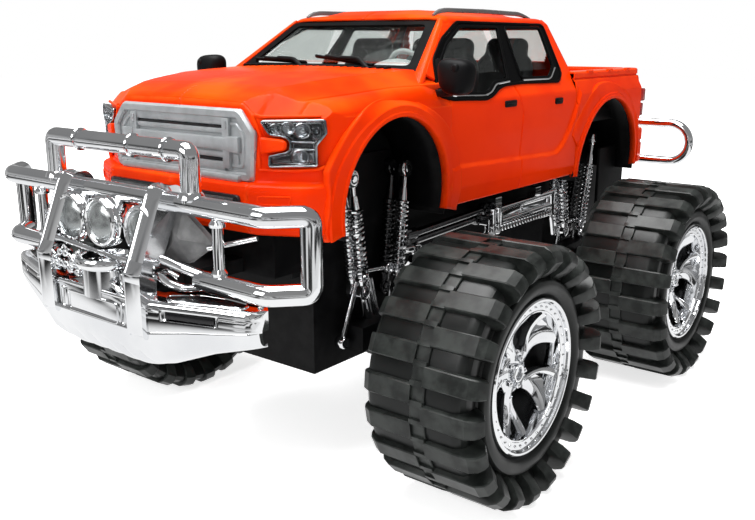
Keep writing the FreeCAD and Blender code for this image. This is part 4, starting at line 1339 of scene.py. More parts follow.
@dataclass(frozen=True)
class ArchFlare:
    """A wheel arch's raised lip: an inner roll, a step and a broad outer facet.

    Attributes:
        y: Arch centre, from the front axle.
        z: Arch centre height.
        radius: Radius of the arch's edge.
        ends: Angles of the two feet, in degrees from the rear upwards.
        middle: Distance from the edge to the step.
        outer: (angle, radius) rows of the outer line.
        proud: (angle, x) rows of the edge's height.
    """

    y: float
    z: float
    radius: float
    ends: Flat
    middle: tuple[Flat, ...]
    outer: tuple[Flat, ...]
    proud: tuple[Flat, ...]

    def build(self) -> Skin:
        """The lip: its profile (radius, x) carried round the arc of the arch.

        Returns:
            The left half's surface, drawn from the front axle.
        """
        angle = np.linspace(self.ends[0], self.ends[1], 96)
        turn = np.radians(angle)
        edge = np.full_like(angle, self.radius)
        out, mid = table(self.outer, angle), self.radius + table(self.middle, angle)
        top = table(self.proud, angle)

        def wall(radius: Array) -> Array:
            """X of the flank at a radius, for every angle."""
            return FLANK.x(self.y + radius * np.cos(turn), self.z + radius * np.sin(turn))

        base = np.minimum(wall(out), 70.6)
        profile = [(edge, top - 3.6), (edge, top - 1.0), (edge + 0.2, top - 0.3),
                   (edge + 0.7, top), (edge + 1.9, top), (edge + 2.3, top - 0.5),
                   (mid - 0.5, top - 0.6), (mid + 0.1, np.maximum(top - 1.3, base + 0.5)),
                   (out - 1.2, base + 1.5), (out - 0.5, base + 1.2), (out + 0.1, base - 1.0)]
        radius = np.stack([row[0] for row in profile], 1)
        x = np.stack([row[1] for row in profile], 1)
        y = self.y + radius * np.cos(turn)[:, None]
        z = self.z + radius * np.sin(turn)[:, None]
        return grid(np.stack([x, y, np.maximum(z, 115.6)], -1))

    def covers(self, middle: Array) -> Array:
        """Whether points of the flank lie in the arch's opening."""
        reach = np.hypot(middle[:, 1] - self.y, middle[:, 2] - self.z)
        return (reach < self.radius + 1.6) & (middle[:, 0] > 55.0)


FRONT_FLARE = ArchFlare(
    -16.4, 128.1, 36.4, (-13.0, 193.0), ((0, 5.2), (120, 5.2), (156, 8.0), (193, 8.5)),
    ((-13, 47.5), (18, 49.2), (36, 47.7), (60, 44.8), (90, 44.6), (120, 47.0), (145, 48.4),
     (158, 50.2), (168, 46.5), (193, 45.5)),
    ((-13, 71.4), (40, 72.9), (90, 73.4), (140, 73.0), (193, 71.2)))
REAR_FLARE = ArchFlare(
    200.2, 118.9, 42.2, (-4.0, 181.0), ((0, 3.6), (180, 4.0)),
    ((-4, 46.4), (30, 49.5), (60, 51.2), (78, 50.8), (98, 53.3), (112, 55.5), (126, 56.2),
     (140, 56.8), (150, 58.8), (156, 58.0), (159, 48.6), (181, 46.8)),
    ((-4, 71.4), (40, 72.8), (90, 73.4), (140, 73.1), (181, 71.6)))


@dataclass
class FrontBody(Assembly):
    """Bonnet, front wings, nose and bumper in one orange moulding.

    Attributes:
        split: Where the wings meet the doors, from the front axle.
        shoulder: Height at which the wings start to roll inwards.
        keys: Heights of the nose's outlines.
        noses: (x, y) rows of the nose's left corner at each of those heights.
        crest: (y, z) rows of the bonnet's middle.
        creases: (y, x) rows of the inner and the outer crease.
        corner_rows: Rows of the surface round the nose's corner.
    """

    split: float = 24.0
    shoulder: float = 167.0
    keys: tuple[float, ...] = (120.0, 121.5, 123.5, 138.0, 140.2, 140.9, 141.4, 142.2, 166.0)
    noses: tuple[tuple[Flat, ...], ...] = (
        ((44.0, -74.5), (60.0, -66.5), (66.5, -59.0)),
        ((44.0, -78.6), (63.0, -69.0), (69.0, -60.0)),
        ((44.0, -80.0), (64.0, -70.0), (69.8, -60.5)),
        ((44.0, -80.3), (64.8, -70.6), (70.2, -61.0)),
        ((44.0, -79.8), (64.6, -70.3), (70.2, -60.9)),
        ((44.0, -78.9), (64.0, -69.6), (70.0, -60.6)),
        ((44.0, -75.6), (59.6, -68.2), (69.6, -60.6)),
        ((44.0, -74.9), (58.4, -67.6), (69.3, -60.5)),
        ((44.0, -73.9), (58.0, -67.4), (69.0, -60.3)))
    crest: tuple[Flat, ...] = ((-75, 170.6), (-74, 172.0), (-71.5, 173.6), (-68, 175.1),
                               (-64, 176.5), (-60, 177.5), (-52, 178.6), (-45, 179.4),
                               (-30, 180.8), (-14, 181.6), (0, 182.1), (14, 182.6),
                               (24, 182.8))
    creases: tuple[tuple[Flat, ...], ...] = (
        ((-75, 38), (-60, 43), (-45, 47), (-29, 51), (0, 54), (14, 55.5), (24, 56)),
        ((-66, 55), (-57, 56.8), (-37, 61), (-14, 64.5), (4.5, 66.0), (24, 65.3)))
    corner_rows: int = 43

    def front_line(self, x: Array) -> Array:
        """Y of the nose's upper edge for a distance from the centre plane."""
        return table(((0.0, -74.6), *self.noses[-1], (70.4, -50.0)), x)

    def top(self, x: Array, y: Array) -> Array:
        """Bonnet height: the lowest of the crowned middle, the flank, the wing and the nose.

        Args:
            x: Distance from the centre plane.
            y: Distance behind the front axle.

        Returns:
            The heights.
        """
        x = np.abs(x)
        crest = table(self.crest, y)
        inner, outer = (table(line, y) for line in self.creases)
        low = table(((-66, 172.4), (-57, 172.9), (-37, 174.4), (-14, 176.2), (4.5, 176.3),
                     (24, 176.2)), y)
        middle = crest + 1.1 * (1 - (x / inner) ** 2)
        flank = crest + (low - crest) * (x - inner) / (outer - inner)
        side = FLANK.x(y, self.shoulder)
        t = np.clip((x - outer) / np.maximum(side - outer, 1.0), 0.0, 1.0)
        drop = low - self.shoulder
        round_roll = low - drop * (1 - np.sqrt(np.maximum(1 - t * t, 0.0))) - 0.25 * t
        straight = low - drop * t
        share = blend((y - 4.0) / 16.0)
        wing = round_roll * (1 - share) + straight * share
        behind = y - self.front_line(x)
        nose = table(((37.5, 172.0), (46.0, 166.0)), x) + 1.04 * behind
        height = np.where(x < inner, middle, np.where(x < outer, flank, wing))
        groove = 0.5 * ridge(x - (59.6 + 0.08 * (y + 60)), 0.7) * blend((-57.5 - y) / 1.5)
        fold = 0.45 * ridge(x - outer, 0.6) * blend((y + 60.0) / 4.0)
        fold = fold + 0.3 * ridge(x - inner, 0.5) * blend((y + 50.0) / 8.0)
        return np.minimum(height, nose) - groove - fold

    def plan_rows(self) -> list[Array]:
        """The corner and side outline at every key height, with the same count of points.

        Returns:
            One (n, 2) outline for each key height.
        """
        rows = []
        back = np.linspace(-50, self.split, 90)
        for height, nose in zip(self.keys, self.noses):
            start = (float(FLANK.x(-50.0, height)), -50.0)
            corner = along(rounded([*nose, start], 4.0, 5), self.corner_rows + 1)[:-1]
            side = np.column_stack([FLANK.x(back, np.full_like(back, height)), back])
            rows.append(np.concatenate([corner, side]))
        return rows

    def flank(self) -> Skin:
        """Walls from the nose's corner to the doors, then the top in to the centre plane.

        Row u follows the outline; columns climb the wall by level and then cross the bonnet
        at a fixed y, with height top(x, y).

        Returns:
            The left half's surface, drawn from the front axle.
        """
        levels = np.concatenate([[120.0, 120.6, 121.5, 122.5, 123.5], np.linspace(125, 138, 12),
                                 [139.2, 140.2, 140.6, 140.9, 141.2, 141.4, 141.8, 142.2],
                                 np.linspace(143.5, 166.0, 22)])
        wall = ring_rows(self.plan_rows(), levels, np.array(self.keys))
        late = np.arange(len(wall)) >= self.corner_rows
        wall[late, :, 0] = FLANK.x(wall[late, :, 1], wall[late, :, 2])
        edge = wall[:, -1]
        start = edge[:, 0, None]
        inner, outer = (table(line, edge[:, 1])[:, None] for line in self.creases)
        outer = np.minimum(outer, start * 0.985)
        inner = np.minimum(inner, outer * 0.97)
        roll = 1 - np.cos(np.linspace(0, np.pi / 2, 25)[None, 1:])
        flat, rest = np.linspace(0, 1, 13)[None, 1:], np.linspace(0, 1, 52)[None, 1:]
        steps = [start + (outer + 0.6 - start) * roll, outer, outer - 0.6,
                 outer - 0.6 + (inner + 1.1 - outer) * flat, inner, inner - 0.5,
                 (inner - 0.5) * (1 - rest)]
        x = np.concatenate(steps, axis=1)
        y = np.broadcast_to(edge[:, 1, None], x.shape)
        z = np.where(late[:, None] | (x < edge[:, 0, None] - 0.01), self.top(x, y), 166.0)
        over = np.stack([x, y, z], -1)
        skin = grid(np.concatenate([wall, over], axis=1))
        return skin.without(FRONT_FLARE.covers)

    def face(self) -> Skin:
        """The nose between its corners: bumper, ledge and the panel behind the grille.

        Returns:
            The left half's surface, drawn from the front axle.
        """
        x = np.linspace(0.0, 44.0, 34)
        middles = (-76.0, -80.0, -81.7, -82.2, -81.6, -80.4, -75.6, -75.0)
        lines = []
        for height, middle, nose in zip(self.keys, middles, self.noses):
            lines.append(np.column_stack([x, np.interp(x, [0, 44], [middle, nose[0][1]]),
                                          np.full_like(x, height)]))
        ledge, top = self.keys[len(middles) - 1], self.top(x, np.full_like(x, -73.9))
        for share in (0.25, 0.5, 0.75, 0.94, 1.0):
            y = -75.0 + (0.25 if share < 0.9 else (0.5 if share < 1.0 else 1.1))
            lines.append(np.column_stack([x, np.full_like(x, y), ledge + (top - ledge) * share]))
        return grid(np.stack(lines, axis=1))

    def build(self) -> None:
        """Adds the moulding with the lips of its arches."""
        half = join([self.flank(), self.face(), FRONT_FLARE.build().inside_out()])
        self.put("bonnet_and_wings", half.both(), "orange_gloss", ["front_body"], sharp=17,
                 wall=1.4)


@dataclass
class CabBody(Assembly):
    """Doors, pillars, roof and rear wall, from the wings to the load bed.

    Attributes:
        front: Front edge of the doors, from the front axle.
        back: Lower rear edge of the cab.
        roof: Height of the roof's middle.
        brim: Height of the roof's edge.
        surround: (y, z) outline of the black surround of the side windows.
        front_pane: Outline of the front door's pane.
        rear_pane: Outline of the rear door's pane.
    """

    front: float = 24.0
    back: float = 156.0
    roof: float = 210.6
    brim: float = 207.8
    surround: tuple[Flat, ...] = (
        (16.6, 171.4), (26, 169.2), (55.5, 167.9), (62, 169.2), (70, 172.2), (77.5, 173.6),
        (95, 174.1), (136, 173.2), (143.2, 177.6), (145.4, 203.8), (56.5, 204.1),
        (38.3, 196.3), (24.2, 187.0))
    front_pane: tuple[Flat, ...] = (
        (20.0, 174.2), (28.3, 171.6), (55.1, 170.6), (60.8, 171.6), (68, 175.2), (82.3, 176.2),
        (93.6, 202.0), (58.5, 202.0), (40.2, 194.0), (26.2, 184.0))
    rear_pane: tuple[Flat, ...] = (
        (96.1, 176.3), (127, 175.9), (136.6, 181.0), (139.6, 202.0), (100.4, 202.0))

    def seam(self, z: Array) -> Array:
        """Y of the line between the front and rear doors at a height."""
        return table(((119, 88.9), (124, 89.1), (142, 89.9), (159, 91.2), (174, 85.5),
                      (176, 84.5)), z)

    def side(self) -> Skin:
        """Door skins, window plane and half the roof.

        Rows run backwards between the front and the rear edge of each level, with four of
        them tight on the door seam; columns climb the flank and cross the roof.

        Returns:
            The left half's surface, drawn from the front axle.
        """
        low = np.concatenate([[119.8, 120.4, 121.2], np.linspace(122.4, 167.0, 56),
                              [168.0, 169.0, 170.0], np.linspace(171.0, 203.4, 37)])
        roll = np.array([(50.0, 204.2), (49.7, 205.3), (48.9, 206.3), (47.4, 207.0),
                         (45.0, 207.4), (41.0, 207.7)])
        across = np.linspace(38.0, 0.0, 16)
        over = np.column_stack([across, self.brim + (self.roof - self.brim) * blend(
            (across[0] - across) / 16.0)])
        z = np.concatenate([low, roll[:, 1], over[:, 1]])
        start = table(((119, self.front), (176, self.front), (181, 13.6), (204, 45.5),
                       (205.5, 47.0), (209, 47.5)), z)
        end = table(((119, self.back - 2.5), (174, self.back - 2.5), (178, self.back - 0.5),
                     (204, 151.6), (209, 151.0)), z)
        seam = np.minimum(self.seam(z), end - 20)
        knots = [start, seam - 0.55, seam - 0.2, seam + 0.2, seam + 0.55, end]
        spans, steps = [], (72, 1, 1, 1, 72)
        for first, last, count in zip(knots[:-1], knots[1:], steps):
            t = np.linspace(0, 1, count + 1)[:-1, None]
            spans.append(first + (last - first) * t)
        y = np.concatenate([*spans, end[None]])
        levels = np.broadcast_to(z, y.shape).copy()
        x = FLANK.x(y, levels)
        count = len(low)
        x[:, count:] = np.concatenate([roll[:, 0], over[:, 0]])
        groove = steps[0] + 2
        deep = np.isin(np.arange(len(y)), [groove, groove + 1])[:, None] & (levels < 174.5)
        x = x - np.where(deep, 0.8, 0.0)
        ends = np.minimum(y - 47.0, 151.2 - y)[:, count:]
        rise = np.maximum(levels[:, count:] - self.brim, 0.0)
        levels[:, count:] -= 1.3 * (1 - blend(ends / 5.0)) + rise * (1 - blend(ends / 16.0))
        skin = grid(np.stack([x, y, levels], -1))
        window = shrunk(np.array(self.surround), 0.7)

        def cut(middle: Array) -> Array:
            """Whether places lie in the window's opening or in the rear arch."""
            pane = inside(middle[:, 1:], window) & (middle[:, 0] > 49.5)
            return pane | REAR_FLARE.covers(middle)

        return skin.without(cut)

    def rear_wall(self) -> Skin:
        """The wall behind the rear seats, with the opening of its window.

        Returns:
            The surface, drawn from the front axle.
        """
        low, high = 148.0, 206.6
        t, s = np.linspace(0, 1, 44), np.linspace(-1, 1, 108)
        z = low + (high - low) * t
        half = table(((low, 62), (174, 63), (178, 63.5), (204, 49.8), (high, 46.5)), z)
        y = table(((low, self.back), (178, self.back), (204, 151.4), (207, 150.8)), z)
        x = half[:, None] * s[None]
        points = np.stack([x, np.broadcast_to(y[:, None], x.shape),
                           np.broadcast_to(z[:, None], x.shape)], -1)
        hole = rect((-49.0, 183.0), (49.0, 201.5), 4.0)
        return grid(points).inside_out().without(
            lambda middle: inside(middle[:, [0, 2]], hole))

    def bead(self, outline: Sequence[Flat] | Array, width: float, height: float,
             lift: float = 0.0, corner: float = 2.0) -> Skin:
        """A moulded strip laid round an outline of the window plane.

        Args:
            outline: (y, z) corners of the outline.
            width: The strip's width.
            height: The strip's height.
            lift: How far it stands off the plane.
            corner: Radius of its corners.

        Returns:
            The strip.
        """
        line = rounded(outline, corner, 4, closed=True)
        line = along(line, 2 * len(line), closed=True)
        section = rect((-width / 2, -0.5), (width / 2, height), min(width, height) * 0.35)
        return sweep(FLANK.glass(line, lift), section, closed=True, up=FLANK.outward)

    def frames(self) -> Skin:
        """Black surround with its two openings, and the beads round them.

        Returns:
            The left half's surface, drawn from the front axle.
        """
        y, z = np.linspace(15, 147, 200), np.linspace(167, 205, 58)
        yy, zz = np.meshgrid(y, z, indexing="ij")
        flat = np.column_stack([yy.ravel(), zz.ravel()])
        sheet = grid(FLANK.glass(flat, 0.25).reshape(*yy.shape, 3))
        outer = shrunk(np.array(self.surround), 0.4)
        panes = [shrunk(np.array(pane), -0.5) for pane in (self.front_pane, self.rear_pane)]

        def cut(middle: Array) -> Array:
            """Whether places lie outside the surround or in one of its panes."""
            place = middle[:, 1:]
            return ~inside(place, outer) | inside(place, panes[0]) | inside(place, panes[1])

        parts = [sheet.without(cut), self.bead(self.surround, 1.3, 0.75)]
        parts += [self.bead(pane, 1.5, 0.8, 0.0, 1.6) for pane in (self.front_pane,
                                                                  self.rear_pane)]
        return join(parts)

    def strips(self) -> Skin:
        """The bright strips along the sills of the front and the rear window.

        Returns:
            The left half's surface, drawn from the front axle.
        """
        front = [(24, 171.6), (28.3, 170.5), (55.4, 169.5), (61.4, 170.6), (68.6, 174.2),
                 (82.6, 175.1)]
        rear = [(97, 175.3), (127.5, 174.9), (137.6, 180.4)]
        return join([sweep(FLANK.glass(along(rounded(line, 2.5, 4), 60), 0.6), circle(0.5, 8))
                     for line in (front, rear)])

    def build(self) -> None:
        """Adds the shell, the black surrounds and the bright strips."""
        shell = join([self.side().both(), self.rear_wall()])
        self.put("doors_and_roof", shell, "orange_gloss", ["cab_shell"], sharp=30, wall=1.2)
        self.put("window_surrounds", self.frames().both(), "black_trim", sharp=35)
        self.put("window_sill_strips", self.strips().both(), "chrome_bright")


@dataclass
class BedBody(Assembly):
    """Load bed with its rails, tailgate and the orange rear bumper.

    Attributes:
        front: Front of the bed's sides, from the front axle.
        tail: Outer face of the tailgate.
        floor: Height of the bed's floor.
    """

    front: float = 153.8
    tail: float = 248.6
    floor: float = 149.0

    def section(self) -> Array:
        """(x, z) from the sill up over the rail and down to the bed's floor and its middle.

        Returns:
            The section's points; x is 0 where the flank gives it.
        """
        wall = [(0.0, z) for z in np.concatenate([[117.8, 118.6], np.linspace(120, 166, 58)])]
        top = [(69.6, 170.0), (69.0, 172.6), (68.5, 173.5), (67.5, 173.7), (67.4, 174.3),
               (68.1, 174.7), (68.0, 177.2), (67.3, 178.0), (65.8, 178.2), (59.4, 178.2),
               (58.2, 177.8), (57.8, 176.8), (57.8, 175.4), (56.4, 174.6), (56.2, 173.4),
               (56.0, 152.0), (55.0, 149.6), (53.0, self.floor), (26.0, self.floor),
               (0.0, self.floor)]
        return np.array(wall + top)

    def sides(self) -> Skin:
        """Left half: the section carried from the cab to the tail, rounded in at the tail.

        Returns:
            The left half's surface, drawn from the front axle.
        """
        section = self.section()
        y = np.concatenate([[self.front, self.front + 0.3], np.linspace(155, 246, 96),
                            [247.2, 248.0, 248.4, self.tail]])
        yy, zz = np.meshgrid(y, section[:, 1], indexing="ij")
        x = np.broadcast_to(section[:, 0], yy.shape).copy()
        wall = section[:, 0] == 0.0
        wall[-1] = False
        x[:, wall] = FLANK.x(yy[:, wall], zz[:, wall])
        outer = x > 60
        inset = table(((245.8, 0.0), (247.2, 0.5), (248.0, 1.3), (248.4, 2.2),
                       (self.tail, 3.4)), y)
        x = x - inset[:, None] * outer
        step = 0.6 * ((y < self.front + 0.2)[:, None] & outer)
        return grid(np.stack([x - step, yy, zz], -1)).without(REAR_FLARE.covers)

    def walls(self) -> Skin:
        """The tailgate with its raised panel, cap and lower skirt, and the floor's ribs.

        Returns:
            The surface, drawn from the front axle.
        """
        gate = slab(rect((-63.5, 140.0), (63.5, 176.8), 2.0), -3.0, 0.4, 0.5)
        panel = slab(rect((-50, 146.5), (50, 169.5), 2.5), 0.3, 1.3, 0.5)
        cap = slab(rect((-57, 174.2), (57, 178.2), 1.0), -5.0, 1.0, 0.8)
        lower = slab(rect((-64.5, 117.5), (64.5, 140.5), 1.0), -2.0, -0.4, 0.5)
        rear = join([gate, panel, cap, lower]).placed((0, self.tail, 0), BACK_OUT)
        ribs = [block((x - 1.1, self.front + 6, self.floor - 0.4),
                      (x + 1.1, self.tail - 8, self.floor + 0.7), 0.4)
                for x in np.linspace(-44, 44, 9)]
        return join([rear, *ribs])

    def bumper(self) -> Skin:
        """The rear bumper: a folded bar with chamfered ends and a sunk middle step.

        Returns:
            The left half's surface, drawn from the front axle.
        """
        half = np.array([(0.0, 265.6), (52.0, 265.6), (64.5, 264.0), (69.4, 259.0),
                         (70.4, 252.0), (70.4, 247.0)])
        plan = along(rounded(half, 2.5, 4), 60)
        levels = [(2.2, 116.0), (0.6, 116.6), (0.0, 118.0), (0.0, 128.6), (0.7, 129.2),
                  (0.7, 130.6), (0.0, 131.2), (0.0, 137.6), (0.6, 138.9), (2.2, 139.4),
                  (18.0, 139.4)]
        out = unit(plan - np.array([0.0, 240.0]))
        rows = []
        for inset, z in levels:
            rows.append(np.column_stack([plan - out * inset, np.full(len(plan), z)]))
        return grid(np.stack(rows, axis=1)).inside_out()

    def build(self) -> None:
        """Adds the bed, the tailgate and the rear bumper."""
        half = join([self.sides(), REAR_FLARE.build().inside_out()])
        self.put("bed_and_tailgate", half.both(), "orange_gloss", ["load_bed"], sharp=30,
                 wall=1.2)
        self.put("tailgate_panels", self.walls(), "orange_gloss", sharp=30)
        self.put("rear_bumper_bar", self.bumper().both(), "orange_gloss", ["rear_bumper"],
                 wall=1.5)


# ---- bull bar ----------------------------------------------------------------------------
@dataclass
class BullBar(Assembly):
    """Plated bull bar with its hoop, uprights, gussets, lamps and winch.

    Attributes:
        tube: Radius of the main tubes.
        post: Radius of the slim inner posts.
        high: Height of the upper tube.
        low: Height of the lower tube.
        line: Y of the tubes, from the front axle.
        bend: Where the tubes turn back, from the centre plane.
        end: (x, y) of the end posts.
        hoop: Half width and top height of the hoop.
        lamps: Places of the lamps; the middle one stands forward of the others.
        front: Foremost face of the uprights.
    """

    tube: float = 3.95
    post: float = 2.15
    high: float = 137.0
    low: float = 109.0
    line: float = -107.0
    bend: float = 80.5
    end: Flat = (91.6, -95.2)
    hoop: Flat = (43.4, 156.6)
    lamps: tuple[Point, ...] = ((-23.4, -111.2, 125.6), (0.3, -113.7, 126.8),
                                (22.6, -111.2, 125.6))
    front: float = -124.8

    def main_tubes(self) -> Skin:
        """The upper tube, both end posts and the outer lengths of the lower tube.

        Returns:
            The surface, drawn from the front axle.
        """
        x, y = self.end
        half = [(46.0, self.line, self.low), (self.bend, self.line, self.low),
                (x, y, self.low), (x, y, self.high), (self.bend, self.line, self.high)]
        path = half + [(-a, b, c) for a, b, c in half[::-1]]
        caps = [revolved([(0.02, -0.3), (3.2, -0.3), (3.9, 0.6), (3.9, 1.4)], 20,
                         closed=False).placed((side * 46, self.line, self.low),
                                              frame_axes((0, 1, 0), (0, 0, side)))
                for side in (1, -1)]
        return join([tube(path, self.tube, 3.4, 26, steps=7), *caps])

    def posts(self) -> Skin:
        """Slim inner posts with small collars.

        Returns:
            The surface, drawn from the front axle.
        """
        x = 56.9
        bar = tube([(x, self.line, self.low), (x, self.line, self.high)], self.post, sides=18)
        collars = [revolved([(2.1, -1.2), (3.0, -1.2), (3.2, 0.0), (2.1, 1.4)], 20)
                   .moved((x, self.line, z)) for z in (self.low + 4.6, self.high - 5.2)]
        return join([bar, *collars]).both()

    def top_hoop(self) -> Skin:
        """The hoop, with its welded feet and three bands.

        Returns:
            The surface, drawn from the front axle.
        """
        x, z = self.hoop
        path = [(-x, self.line, self.high), (-x, self.line, z), (x, self.line, z),
                (x, self.line, self.high)]
        bands = []
        for place in (-24.0, 11.0, 32.0):
            ring = revolved([(3.7, -0.75), (4.5, -0.55), (4.7, 0.0), (4.5, 0.55),
                             (3.7, 0.75)], 28)
            bands.append(ring.placed((place, self.line, z), X_OUT))
        feet = [revolved([(3.6, -0.8), (5.2, -0.8), (4.7, 0.6), (3.7, 1.8)], 26)
                .moved((side * x, self.line, self.high + 3.4)) for side in (1, -1)]
        return join([tube(path, 3.85, 2.4, 26, steps=6), *bands, *feet])

    def upright(self) -> Skin:
        """One flat upright: rounded over the upper tube, cranked at the knee, banded there.

        Returns:
            The left upright, drawn from the front axle.
        """
        f = self.front
        side = [(f, 87.6), (f, 111.4), (-113.1, 139.4), (-110.6, 142.8), (-105.4, 143.0),
                (-102.6, 140.0), (-103.2, 136.4), (-107.4, 132.0), (-118.2, 109.8),
                (f + 5.8, 87.6)]
        bar = slab(rounded(side, 1.8, 4, closed=True), 24.2, 33.8, 0.6)
        knee = [(f - 0.25, 108.4), (f - 0.25, 111.8), (-122.2, 117.4), (-118.4, 115.0),
                (f + 5.6, 110.4), (f + 5.6, 107.4)]
        band = slab(rounded(knee, 0.4, 2, closed=True), 23.9, 34.1, 0.4)
        return join([bar, band]).placed((0, 0, 0), X_OUT)

    def lamp(self) -> Skin:
        """A round lamp about Z: deep housing with a stepped, bulging bezel.

        Returns:
            The surface, built about Z.
        """
        return revolved([(0.02, -7.0), (5.5, -7.0), (8.8, -4.6), (9.9, -1.6), (10.2, 0.2),
                         (10.2, 1.4), (9.7, 1.8), (9.5, 2.6), (10.1, 3.0), (10.1, 3.9),
                         (9.4, 4.8), (8.6, 4.9), (8.0, 4.2), (7.8, 3.0), (0.02, 3.0)], 48,
                        closed=False)

    def lens(self) -> Skin:
        """A lamp's smooth glass: a plain shallow dome."""
        return revolved([(8.0, 2.6), (8.0, 3.5), (7.2, 4.2), (5.8, 4.9), (4.0, 5.5), (2.0, 5.8),
                         (0.02, 5.9)], 48, closed=False)

    def row(self, part: Skin) -> Skin:
        """Copies of a lamp part at the places of the lamps."""
        return join([part.placed(place, FRONT_OUT) for place in self.lamps])

    def gussets(self) -> Skin:
        """Struts, clips and the waved rails beside the uprights.

        Returns:
            The surface, drawn from the front axle.
        """
        strut = tube([(50, -106, 121.4), (70.0, -100, 127.0)], 0.9, 3, 10)
        wave = tube([(24.0, -118.5, 116.3), (32.0, -115, 117.2), (38.5, -110.5, 113.6),
                     (47.0, -107.6, 111.2), (54.0, -107, 110.4)], 1.9, 3.4, 14)
        lower = tube([(26.0, -118.0, 110.2), (31.0, -116, 111.6), (35.0, -113.5, 107.2),
                      (40.0, -110.0, 105.2), (48.0, -107.6, 106.8)], 1.6, 2.8, 14)
        clip = tube([(29.0, -113, 109.0), (34.0, -112.5, 112.0), (38.5, -111.0, 109.5)], 1.1,
                    2.0, 10)
        return join([strut, wave, lower, clip]).both()

    def facets(self) -> Skin:
        """Dark pyramid plates between each upright and its inner post.

        Returns:
            The surface, drawn from the front axle.
        """
        rim = np.array([(26.0, -106, 133.4), (37.0, -106, 134.2), (52.0, -105, 123.0),
                        (40.0, -107, 114.4), (26.0, -108, 115.0)])
        rings = np.stack([rim + np.array([0, 2.4, 0]), rim,
                          rim * 0.1 + np.array([37.5, -110.5, 124.0]) * 0.9])
        return grid(rings, wrap_cols=True, cap_ends=True).both()

    def rails(self) -> Skin:
        """The thin rail across the middle and the small lattice below it.

        Returns:
            The surface, drawn from the front axle.
        """
        rail = tube([(-27, -119.5, 117.4), (-14, -118.8, 116.0), (6, -118.8, 114.6),
                     (28, -119.5, 114.6)], 1.1, 9, 14)
        under = tube([(-31, -119, 104.6), (-12, -119, 107.0), (-4, -119, 104.2)], 0.9, 4, 10)
        knots = [revolved([(0.02, -1.4), (1.5, -1.2), (1.9, 0), (1.5, 1.2), (0.02, 1.4)], 12,
                          closed=False).placed((x, -119.2, z), FRONT_OUT)
                 for x, z in ((-22, 111.5), (-17.5, 108.2), (-13, 112.2), (-19.5, 105.0),
                              (-14.6, 104.2), (-22.3, 106.8))]
        cross = [tube([(-24.5, -119, 114.5), (-12, -119, 103.4)], 0.7, sides=8),
                 tube([(-24.5, -119, 104.0), (-12, -119, 113.0)], 0.7, sides=8)]
        return join([rail, under, *knots, *cross])

    def drum(self) -> Skin:
        """The upright winch drum with its flanges, bracket and hook.

        Returns:
            The surface, drawn from the front axle.
        """
        profile = [(0.02, 98.0), (10.2, 98.0), (10.2, 109.0), (10.8, 109.6), (12.4, 110.2),
                   (12.8, 111.2), (12.8, 112.6), (12.3, 113.4), (11.2, 113.7), (9.8, 113.4),
                   (9.0, 112.2), (8.6, 110.6), (4.2, 110.4), (3.8, 112.2), (3.0, 112.8),
                   (0.02, 112.8)]
        drum = revolved(profile, 56, closed=False).moved((0.8, -115.4, 0))
        cheek = block((11.0, -120.5, 99.5), (13.4, -112.5, 109.0), 0.6, 1.0)
        hook = tube([(10.4, -121, 104.5), (14, -122.5, 104.5), (18, -122.5, 102.5),
                     (19.5, -121, 100.2)], 1.0, 2, 12)
        return join([drum, cheek.moved((3, 0, 0)), hook])

    def build(self) -> None:
        """Adds the bar's pieces."""
        rows = (("bar_main_tubes", self.main_tubes(), ["bull_bar_upper_tube",
                                                       "bull_bar_lower_tube"]),
                ("bar_posts", self.posts(), ["bull_bar_posts"]),
                ("bar_hoop", self.top_hoop(), ["bull_bar_hoop"]),
                ("bar_uprights", self.upright().both(), ["bull_bar_uprights"]),
                ("bar_lamp_row", self.row(self.lamp()), ["bar_lamps"]),
                ("bar_gussets", self.gussets(), ["bull_bar_stays"]),
                ("bar_rails", self.rails(), []), ("winch_drum", self.drum(), ["winch"]))
        for name, skin, nodes in rows:
            self.put(name, skin, "chrome_bright", nodes, sharp=38)
        self.put("bar_lamp_glasses", self.row(self.lens()), "lamp_dome")
        self.put("bar_corner_facets", self.facets(), "cast_grey", sharp=10)
        back = block((-30, -103, self.low + 2.5), (30, -101.6, self.high - 9.5), 0.3)
        self.put("lamp_backboard", back, "black_satin")


